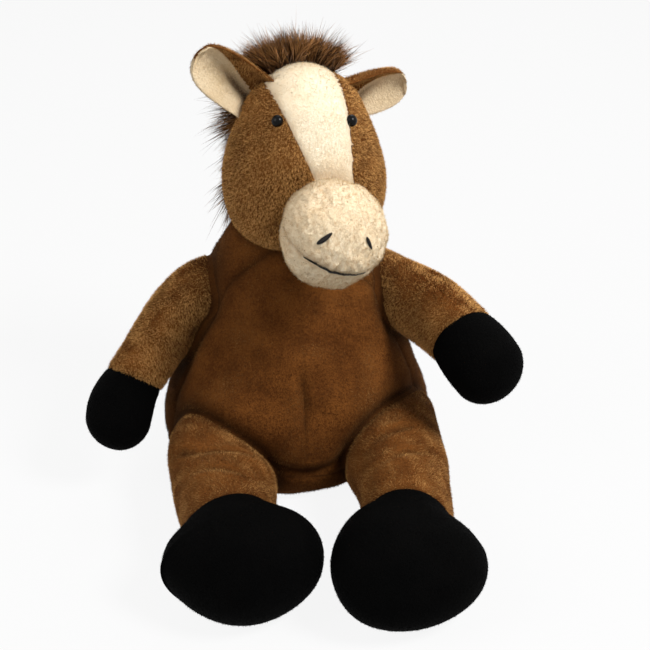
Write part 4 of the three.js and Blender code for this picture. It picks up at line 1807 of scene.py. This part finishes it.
def tube(name: str, path: Array, radii: Array, around: int = 10) -> bpy.types.Object:
    """Makes a closed tube.

    Args:
        name: The object's name.
        path: Its middle line, in millimetres.
        radii: Its radius at each point of the line.
        around: How many corners it has.

    Returns:
        The object, in metres.
    """
    along = unit(np.gradient(path, axis=0))
    side = unit(np.cross(along, SKEW))
    up = np.cross(along, side)
    angles = np.arange(around) / around * TAU
    rings = path[:, None] + radii[:, None, None] * (
        side[:, None] * np.cos(angles)[None, :, None] + up[:, None] * np.sin(angles)[None, :, None]
    )
    mesh = bmesh.new()
    corners = [[mesh.verts.new(p * MM) for p in ring] for ring in rings]
    for low, high in zip(corners, corners[1:]):
        for i in range(around):
            j = (i + 1) % around
            mesh.faces.new([low[i], low[j], high[j], high[i]])
    mesh.faces.new(corners[0][::-1])
    mesh.faces.new(corners[-1])
    bmesh.ops.recalc_face_normals(mesh, faces=mesh.faces[:])
    return object_of(name, mesh)


@dataclass
class Eye:
    """A glossy bead on the cheek, over the CAD shank and washer."""

    name: str
    way: tuple[float, float]
    height_share: float
    radius: float = 3.7
    flatness: float = 0.85
    proud: float = 0.8

    def dress(self, maker: Maker) -> None:
        """Makes and finishes the bead.

        Args:
            maker: What all sub-assemblies share.
        """
        inner = HEAD_PLACE.out(np.array([0.0, 0.0, self.height_share * HEAD_HEIGHT]))
        way = HEAD_PLACE.turned(unit(np.array([*self.way, 0.0])))
        at, normal, _, _ = maker.forms["head"].ray_cast(Vector(inner), Vector(way))
        mesh = bmesh.new()
        bmesh.ops.create_uvsphere(mesh, u_segments=32, v_segments=20, radius=self.radius * MM)
        turn = normal.to_track_quat("Z", "Y").to_matrix()
        for vert in mesh.verts:
            flat = Vector((vert.co.x, vert.co.y, vert.co.z * self.flatness))
            vert.co = turn @ flat + (at + normal * self.proud) * MM
        bead = object_of(f"{self.name}_eye_bead", mesh)
        bead.data.materials.append(maker.finishes.other[Slot.EYE])
        maker.settle(bead, rides(Body.HEAD))
        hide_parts(f"{self.name}_eye")


@dataclass
class Ear:
    """A cupped ear with a cream lining and a brown back, which is folded over its upper edge."""

    RIM_CURVE, EDGE_CURVE, ROW_CROWDING, ROOT_NARROWING = 0.8, 0.6, 1.4, 0.45
    FOLD_END, FOLD_CURVE, FOLD_FADE, FOLD_PULL, FOLD_FALL = 1.02, 1.5, 0.6, 0.16, 1.3
    CUP_AT_ROOT, CUP_LOSS = 1.35, 0.6
    THICK_MIDDLE, THICK_RIM, THICK_TIP, THICK_FADE = 0.8, 0.7, 0.5, 0.3
    DENT_BESIDE, DENT_WIDTH, DENT_TOP, DENT_FADE = 0.32, 0.17, 0.62, 0.3
    # How dark the painted shade is in the dent and at the root.
    DENT_SHADE, ROOT_SHADE = 0.6, 0.4

    name: str
    body: Body
    side: int
    length: float
    height_share: float
    lean: float
    twist: float
    brown: tuple[float, ...]
    half_width: float = 18.0
    cup: float = 8.0
    thickness: float = 5.0
    fold: float = 7.0
    sunk: float = 0.1
    root: tuple[float, float] = (27.0, 4.0)
    fill: float = 0.3
    dent_depth: float = 3.0
    wrap: float = 0.3
    wrap_under: float = -0.6
    rows: int = 92
    around: int = 144
    shares: Stations = (
        (0.0, 1.0), (0.3, 1.0), (0.6, 0.96), (0.8, 0.82), (0.92, 0.6), (0.98, 0.34), (1.0, 0.1),
    )

    def matrix(self) -> tuple[Array, Array]:
        """Places its own frame in the head's.

        Returns:
            The turn, and the place.
        """
        lean, twist = math.radians(self.side * self.lean), math.radians(self.twist)
        c, s = math.cos(twist), math.sin(twist)
        spin = np.array([[c, -s, 0], [s, c, 0], [0, 0, 1]])
        c, s = math.cos(lean), math.sin(lean)
        tip = np.array([[c, 0, s], [0, 1, 0], [-s, 0, c]])
        aside, back = self.root
        return tip @ spin, np.array([self.side * aside, back, self.height_share * HEAD_HEIGHT])

    def edge(self, share: float) -> float:
        """How far across the front, towards the upper rim, the brown starts."""
        return float(np.interp(share, np.linspace(0, 1, len(self.brown)), self.brown))

    def build(self) -> dict[str, bpy.types.Object]:
        """Makes the back and the lining.

        Returns:
            The two sheets by name.
        """
        turn, base = self.matrix()
        table = catmull_rom(np.array(self.shares), np.linspace(0, 1, 120), centripetal=True)
        angles = np.arange(self.around) / self.around * TAU
        across = np.sign(np.cos(angles)) * np.abs(np.cos(angles)) ** self.RIM_CURVE
        upper = -self.side * across
        plump = np.sign(np.sin(angles)) * np.abs(np.sin(angles)) ** self.EDGE_CURVE
        mesh = bmesh.new()
        layer = mesh.loops.layers.uv.new(BAKE_MAP)
        shade = mesh.verts.layers.float.new("hollow")
        grid = []
        ups = (1 + self.sunk) * (1 - (1 - np.linspace(0, 1, self.rows)) ** self.ROW_CROWDING) - self.sunk
        for up in ups:
            share = max(up, 0.0)
            rest = 1 - share
            inside_head = (share - up) / self.sunk
            width = np.interp(share, table[:, 0], table[:, 1]) * (1 - self.ROOT_NARROWING * inside_head)
            start = self.edge(share)
            past = np.clip((upper - start) / (self.FOLD_END - start), 0, 1)
            folded = past**self.FOLD_CURVE * self.fold * rest**self.FOLD_FADE
            deep = self.cup * (self.CUP_AT_ROOT - self.CUP_LOSS * share) * width * (1 - across**2)
            rim = self.THICK_MIDDLE + self.THICK_RIM * np.abs(across) ** 3
            fade = self.THICK_TIP + (1 - self.THICK_TIP) * rest**self.THICK_FADE
            thick = self.thickness * fade * rim * plump
            groove = np.exp(-(((upper - start + self.DENT_BESIDE) / self.DENT_WIDTH) ** 2))
            dent = groove * np.clip((self.DENT_TOP - share) / self.DENT_FADE, 0, 1) * (plump < 0)
            narrow = across * width * self.half_width * (1 - self.FOLD_PULL * folded / self.fold)
            back = deep + thick - folded * self.FOLD_FALL + dent * self.dent_depth
            points = np.stack([narrow, back, np.full(self.around, up * self.length)], axis=1)
            row = [mesh.verts.new(p) for p in HEAD_PLACE.out(points @ turn.T + base)]
            # Painted shade on the lining side: darker in the dent beside the fold and towards the root.
            for i, vert in enumerate(row):
                front = max(0.0, -math.sin(angles[i]))
                vert[shade] = min(1.0, front * (self.DENT_SHADE * dent[i] + self.ROOT_SHADE * rest**3))
            grid.append(row)
        names = []
        for r in range(self.rows - 1):
            for i in range(self.around):
                j = (i + 1) % self.around
                face = mesh.faces.new([grid[r][i], grid[r][j], grid[r + 1][j], grid[r + 1][i]])
                for loop, (a, b) in zip(face.loops, [(i, r), (i + 1, r), (i + 1, r + 1), (i, r + 1)]):
                    loop[layer].uv = (a / self.around, b / self.rows)
                middle = angles[i] + math.pi / self.around
                height = (upper[i] + upper[j]) / 2
                wrap = self.wrap if height < self.wrap_under else 0.0
                lining = math.sin(middle) < wrap and height < self.edge(ups[r])
                names.append(f"{self.name}_lining" if lining else f"{self.name}_back")
        for row in (grid[-1], grid[0][::-1]):
            mesh.faces.new(row)
            names.append(f"{self.name}_back")
        if mesh.calc_volume(signed=True) < 0:
            bmesh.ops.reverse_faces(mesh, faces=mesh.faces[:])
        mesh.normal_update()
        return split(mesh, names)

    def dress(self, maker: Maker) -> None:
        """Makes and finishes the two sheets.

        Args:
            maker: What all sub-assemblies share.
        """
        for name, panel in self.build().items():
            slot, pile = (Slot.LINING, LINING_PILE) if name.endswith("lining") else (Slot.FUR, EAR_PILE)
            panel.name = f"{name}_cloth"
            maker.cloth(panel, name, slot, pile, rides(self.body), self.fill, ["head"])


@dataclass
class Mane:
    """The forelock between the ears and the strip of long hair down the nape."""

    half_width: float = 29.0
    split_back: float = 22.0
    strands: int = 34000
    wisp_share: float = 0.1
    wisp: float = 1.5
    longest: float = 31.0
    shares: Stations = (
        (0.97, 0.1), (0.965, 0.26), (0.9, 0.48), (0.75, 0.72), (0.55, 0.88), (0.38, 0.93), (0.2, 0.88),
        (0.06, 0.74),
    )
    widths: tuple[float, ...] = (0.85, 1.0, 1.1, 1.2, 1.3, 1.3, 1.2, 1.05)
    aside: tuple[float, ...] = (4.0, 1.0, -3.0, -7.0, -12.0, -15.0, -18.0, -20.0)
    heights: tuple[float, ...] = (5.0, 22.0, 38.0, 58.0, 80.0, 110.0)
    lengths: tuple[float, ...] = (29.0, 18.0, 10.0, 14.0, 23.0, 25.0)
    hair: Hair = Hair()
    crown_height: float = 85.0
    crown_reach: float = 25.0
    crown_rise: float = 0.6
    nape_height: float = 80.0
    nape_reach: float = 30.0
    nape_fall: float = 1.5
    nape_flatness: float = 0.35
    parting: float = 0.45
    shortest_share: float = 0.4
    shorter_left: float = 0.2
    seeds: tuple[int, int, int] = (77, 5, 6)

    def roots(self, maker: Maker, random: np.random.Generator) -> tuple[Array, Array]:
        """Draws the points on the head where strands start.

        Args:
            maker: What all sub-assemblies share.
            random: The source of random numbers.

        Returns:
            The points, and the surface's normals there.
        """
        line = np.array([[0.0, back * HEAD_DEPTH, up * HEAD_HEIGHT] for up, back in self.shares])
        share = random.random(self.strands)
        spots = np.linspace(0, 1, len(self.shares))
        points = catmull_rom(line, share, centripetal=True)
        side = random.uniform(-1, 1, self.strands) * np.interp(share, spots, self.widths) * self.half_width
        points[:, 0] += side + np.interp(share, spots, self.aside)
        inner = Vector(HEAD_PLACE.out(np.array([0.0, 0.0, HEAD_MIDDLE])))
        head = maker.forms["head"]
        hits = [head.ray_cast(inner, (Vector(p) - inner).normalized()) for p in HEAD_PLACE.out(points)]
        return np.array([hit[0] for hit in hits]), np.array([hit[1] for hit in hits])

    def dress(self, maker: Maker) -> None:
        """Grows the hair out of the head's surface.

        Args:
            maker: What all sub-assemblies share.
        """
        seed, front_seed, back_seed = self.seeds
        random = np.random.default_rng(seed)
        roots, outward = self.roots(maker, random)
        local = HEAD_PLACE.back(roots)
        across = local[:, 0] / self.half_width
        aside = HEAD_PLACE.turned(np.outer(across, (1.0, 0.0, 0.0)))
        crown = np.clip((local[:, 2] - self.crown_height) / self.crown_reach, 0, 1)[:, None]
        ways = outward + aside * self.parting + np.array([0, 0, self.crown_rise]) * crown
        nape = np.clip((self.nape_height - local[:, 2]) / self.nape_reach, 0, 1)[:, None]
        ways = ways * (1 - self.nape_flatness * nape) + np.array([0, 0, -self.nape_fall]) * nape
        tallest = np.interp(local[:, 2], self.heights, self.lengths)
        own = random.uniform(self.shortest_share, 1.0, len(roots))
        lengths = tallest * own * (1 - self.shorter_left * across)
        lengths *= np.where(random.random(len(roots)) < self.wisp_share, self.wisp, 1.0)
        lengths = np.minimum(lengths, self.longest)
        front = local[:, 1] < self.split_back
        finish = maker.finishes.fibre[Slot.MANE]
        for name, on, seed in (("forelock", front, front_seed), ("mane", ~front, back_seed)):
            piece = hair_object(f"{name}_hair", roots[on], ways[on], lengths[on], self.hair, finish, seed)
            maker.settle(piece, rides(Body.HEAD))
            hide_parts(name)


@dataclass
class Tail:
    """A tuft of long hair at the back seam."""

    root: Point = (0.0, 58.0, 46.0)
    radius: float = 8.0
    sunk: float = 4.0
    strands: int = 3500
    seeds: tuple[int, int] = (88, 9)
    droop: float = 0.35
    flare: float = 0.03
    shortest_share: float = 0.6
    hair: Hair = Hair(length=42.0, width=0.6, fall=14.0, spread=0.28, curl=3.0, lock_size=5.0)

    def dress(self, maker: Maker) -> None:
        """Grows the tuft.

        Args:
            maker: What all sub-assemblies share.
        """
        seed, hair_seed = self.seeds
        random = np.random.default_rng(seed)
        around = random.random(self.strands) * TAU
        radius = self.radius * np.sqrt(random.random(self.strands))
        offsets = np.stack([np.cos(around) * radius, 0 * radius, np.sin(around) * radius], axis=1)
        roots = np.array(self.root) + offsets - np.array([0, self.sunk, 0])
        ways = np.array([0, 1.0, -self.droop]) + offsets * self.flare
        lengths = self.hair.length * random.uniform(self.shortest_share, 1.0, self.strands)
        finish = maker.finishes.fibre[Slot.MANE]
        piece = hair_object("tail_hair", roots, ways, lengths, self.hair, finish, hair_seed)
        maker.settle(piece, rides(Body.TAIL))
        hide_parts("tail")


@dataclass
class Stuffing:
    """The fibre filling inside one form."""

    form: StuffedForm
    name: str
    hold: Hold
    deep: float = 7.0
    cell: float = 5.0
    lowest: float = 3.0

    def dress(self, maker: Maker) -> None:
        """Makes and finishes it.

        Args:
            maker: What all sub-assemblies share.
        """
        skin = Skin(replace(self.form, cell=self.cell))
        skin.sculpt(Inset(self.deep), Lumps(size=18.0, high=0.8, seed=41), smallest_height=self.lowest)
        for piece in skin.panels([], f"{self.name}_stuffing").values():
            piece.data.materials.append(maker.finishes.other[Slot.FILLING])
            maker.settle(piece, self.hold)
            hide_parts(f"{self.name}_filling")


@dataclass
class Inner:
    """The nodes that stay inside as the CAD has them: the pellet bag and the washers."""

    def dress(self, maker: Maker) -> None:
        """Gives each of them its material.

        Args:
            maker: What all sub-assemblies share.
        """
        slots = {f"{side}_eye_washer": Slot.WASHER for side in ("right", "left")}
        for name, slot in {"seat_pellet_bag": Slot.PELLETS, **slots}.items():
            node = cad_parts[name]
            node.data.materials.clear()
            node.data.materials.append(maker.finishes.other[slot])
            log.info("%s keeps its shape", name)


@dataclass
class Studio:
    """A pale floor, a white surround, soft lights and the camera."""

    eye: Point = (-0.0605, -0.8627, 0.592)
    target: Point = (0.015, 0.0, 0.092)
    lens: float = 81.4
    floor_size: float = 6.0
    floor_tone: float = 0.6
    seen_share: float = 0.9
    pale: float = 0.25
    lamps: tuple[tuple[str, Point, float, float], ...] = (
        ("key", (0.85, -0.65, 1.25), 0.5, 23.5),
        ("fill", (-0.9, -0.5, 0.9), 0.8, 5.5),
        ("back", (0.2, 0.9, 1.1), 0.7, 4.0),
    )

    def build(self) -> None:
        """Makes the stage, lights and camera."""
        self._floor()
        self._surround()
        for name, place, size, power in self.lamps:
            self._light(name, place, size, power)
        data = bpy.data.cameras.new("camera")
        data.lens = self.lens
        bpy.context.scene.camera = self._aimed("camera", data, self.eye)
        bpy.context.scene.view_settings.view_transform = "Standard"

    def _floor(self) -> None:
        """Makes the floor."""
        mesh = bmesh.new()
        bmesh.ops.create_grid(mesh, x_segments=1, y_segments=1, size=self.floor_size)
        floor = object_of("floor", mesh)
        floor.data.materials.append(self._white_cloth())

    def _white_cloth(self) -> bpy.types.Material:
        """Makes a white that is seen mostly by itself, so that only the shadow shows.

        Returns:
            The material.
        """
        g = Graph("floor_white")
        plain = g.node("ShaderNodeBsdfDiffuse", {}, (self.floor_tone,) * 3)
        bright = g.node("ShaderNodeEmission", {}, WHITE, 1.0)
        mixed = g.node("ShaderNodeMixShader", {}, g.seen() * self.seen_share, plain, bright)
        g.node("ShaderNodeOutputMaterial", {}, mixed)
        return g.material

    def _surround(self) -> None:
        """Makes the world white to the camera and pale to the object."""
        world = bpy.data.worlds.new("surround")
        bpy.context.scene.world = world
        g = Graph("surround", world)
        lit, seen = (g.node("ShaderNodeBackground", {}, WHITE, strength) for strength in (self.pale, 1.0))
        g.node("ShaderNodeOutputWorld", {}, g.node("ShaderNodeMixShader", {}, g.seen(), lit, seen))

    def _light(self, name: str, place: Point, size: float, power: float) -> None:
        """Makes an area light that looks at the target.

        Args:
            name: Its name.
            place: Where it hangs, in metres.
            size: Its width.
            power: Its power in watts.
        """
        data = bpy.data.lights.new(name, "AREA")
        data.shape = "DISK"
        data.size = size
        data.energy = power
        self._aimed(name, data, place)

    def _aimed(self, name: str, data: bpy.types.ID, place: Point) -> bpy.types.Object:
        """Hangs a lamp or a camera and turns it to the target.

        Args:
            name: Its name.
            data: Its own data.
            place: Where it hangs, in metres.

        Returns:
            The object.
        """
        made = linked(name, data)
        made.location = place
        made.rotation_euler = (Vector(self.target) - Vector(place)).to_track_quat("-Z", "Y").to_euler()
        return made


RIGHT_LEG_SHARES = (
    (36.0, 27.0, 26.0), (0.018, 0.2, -0.018, 38.0, 26.0, 28.0), (0.022, 0.4, -0.01, 32.0, 30.5, 12.0),
    (0.005, 0.62, 0.0, 30.0, 31.0, 3.0), (-0.009, 0.71, 0.0, 45.0, 33.0, 0.0),
    (-0.025, 0.795, 0.005, 47.5, 35.0, 0.0), (-0.02, 0.99, 0.005, 31.0, 33.5, 0.0),
)
LEFT_LEG_SHARES = (
    (35.0, 29.0, 28.0), (-0.008, 0.2, 0.005, 34.0, 29.5, 30.0), (0.01, 0.38, 0.0, 30.0, 31.0, 14.0),
    (-0.002, 0.61, 0.0, 28.0, 31.0, 4.0), (-0.028, 0.7, 0.0, 40.0, 33.0, 0.0),
    (-0.03, 0.81, 0.005, 46.5, 35.0, 0.0), (0.0, 1.0, 0.005, 48.5, 34.5, 0.0),
)
RIGHT_LEG_CREASES = (
    Crease(
        ((-91, -80, 46), (-76, -92, 60), (-62, -95, 62), (-41, -97, 57)), 3.0, 3.6, swell=0.5, darkens=3.0
    ),
    Crease(((-80, -112, 56), (-68, -117, 61), (-55, -122, 62), (-42, -127, 58)), 2.2, 3.4, swell=0.5),
)
LEFT_LEG_CREASES = (
    Crease(((34, -98, 52), (50, -90, 62), (68, -82, 66)), 2.6, 3.8, swell=0.5),
    Crease(((38, -120, 56), (55, -114, 63), (74, -108, 60)), 2.0, 3.4, swell=0.5),
)
RIGHT_ARM_SHARES = (
    (0.1, 0.02, -0.02, 1.08), (0.2, 0.05, -0.085, 1.0), (0.35, 0.12, -0.215, 0.87),
    (0.5, 0.23, -0.38, 0.8), (0.572, 0.32, -0.5, 0.87), (0.618, 0.41, -0.69, 0.84),
)
LEFT_ARM_SHARES = (
    (0.2, 0.18, -0.04, 0.98), (0.3, 0.32, -0.05, 0.95), (0.375, 0.453, -0.082, 0.92),
    (0.449, 0.609, -0.134, 1.02), (0.552, 0.781, -0.212, 0.98),
)
RIGHT_ARM_CREASES = (
    Crease(((-72, -28, 98), (-69, -31, 108), (-66, -29, 117)), 2.4, 4.0),
    Crease(((-92, -30, 84), (-84, -33, 94), (-78, -33, 104)), 1.2, 3.6),
)
LEFT_ARM_CREASES = (
    Crease(((62, -30, 117), (72, -38, 112), (84, -52, 100)), 2.2, 4.0),
    Crease(((70, -46, 122), (80, -58, 118), (88, -68, 112)), 0.9, 4.0),
)


def main() -> None:
    """Builds the horse piece by piece, then the studio."""
    logging.basicConfig(level=logging.INFO, format="%(name)s %(message)s")
    maker = Maker(Finishes(), Grower(4))
    torso, head, muzzle = Torso(), Head(), Muzzle()
    limbs = [
        arm(-1, 2.0, (30.0, 25.0), RIGHT_ARM_SHARES, 3, RIGHT_ARM_CREASES),
        arm(1, 0.0, (27.0, 26.0), LEFT_ARM_SHARES, 2, LEFT_ARM_CREASES),
        leg(-1, 182.0, RIGHT_LEG_SHARES, RIGHT_LEG_CREASES), leg(1, 192.0, LEFT_LEG_SHARES, LEFT_LEG_CREASES),
    ]
    fillings = [Stuffing(limb.form(), limb.name, limb.hold()) for limb in limbs]
    wholes = ((torso, "torso", Body.TORSO), (head, "head", Body.HEAD), (muzzle, "muzzle", Body.HEAD))
    fillings += [Stuffing(whole.form(), name, rides(body)) for whole, name, body in wholes]
    maker.forms = {filling.name: Skin(filling.form).tree() for filling in fillings}
    ears = [
        Ear(
            "right_ear", Body.RIGHT_EAR, -1, length=48.0, height_share=0.79, lean=51.5, twist=0.0,
            brown=(-0.05, 0.12, 0.32, 0.52, 0.74, 1.1), half_width=17.4,
        ),
        Ear(
            "left_ear", Body.LEFT_EAR, 1, length=43.0, height_share=0.73, lean=83.0, twist=8.0,
            brown=(-0.8, -0.3, 0.12, 0.42, 0.68, 1.1), half_width=16.0, fold=5.0,
        ),
    ]
    eyes = [Eye("right", (-23.5, -30.1), height_share=0.762), Eye("left", (20.1, -34.5), height_share=0.735)]
    for part in [torso, *limbs, head, muzzle, *eyes, *ears, Mane(), Tail(), *fillings, Inner()]:
        part.dress(maker)
    Studio().build()
    log.info("%d pieces, %d faces", len(maker.pieces), sum(len(p.data.polygons) for p in maker.pieces))


if __name__ == "__main__":
    main()
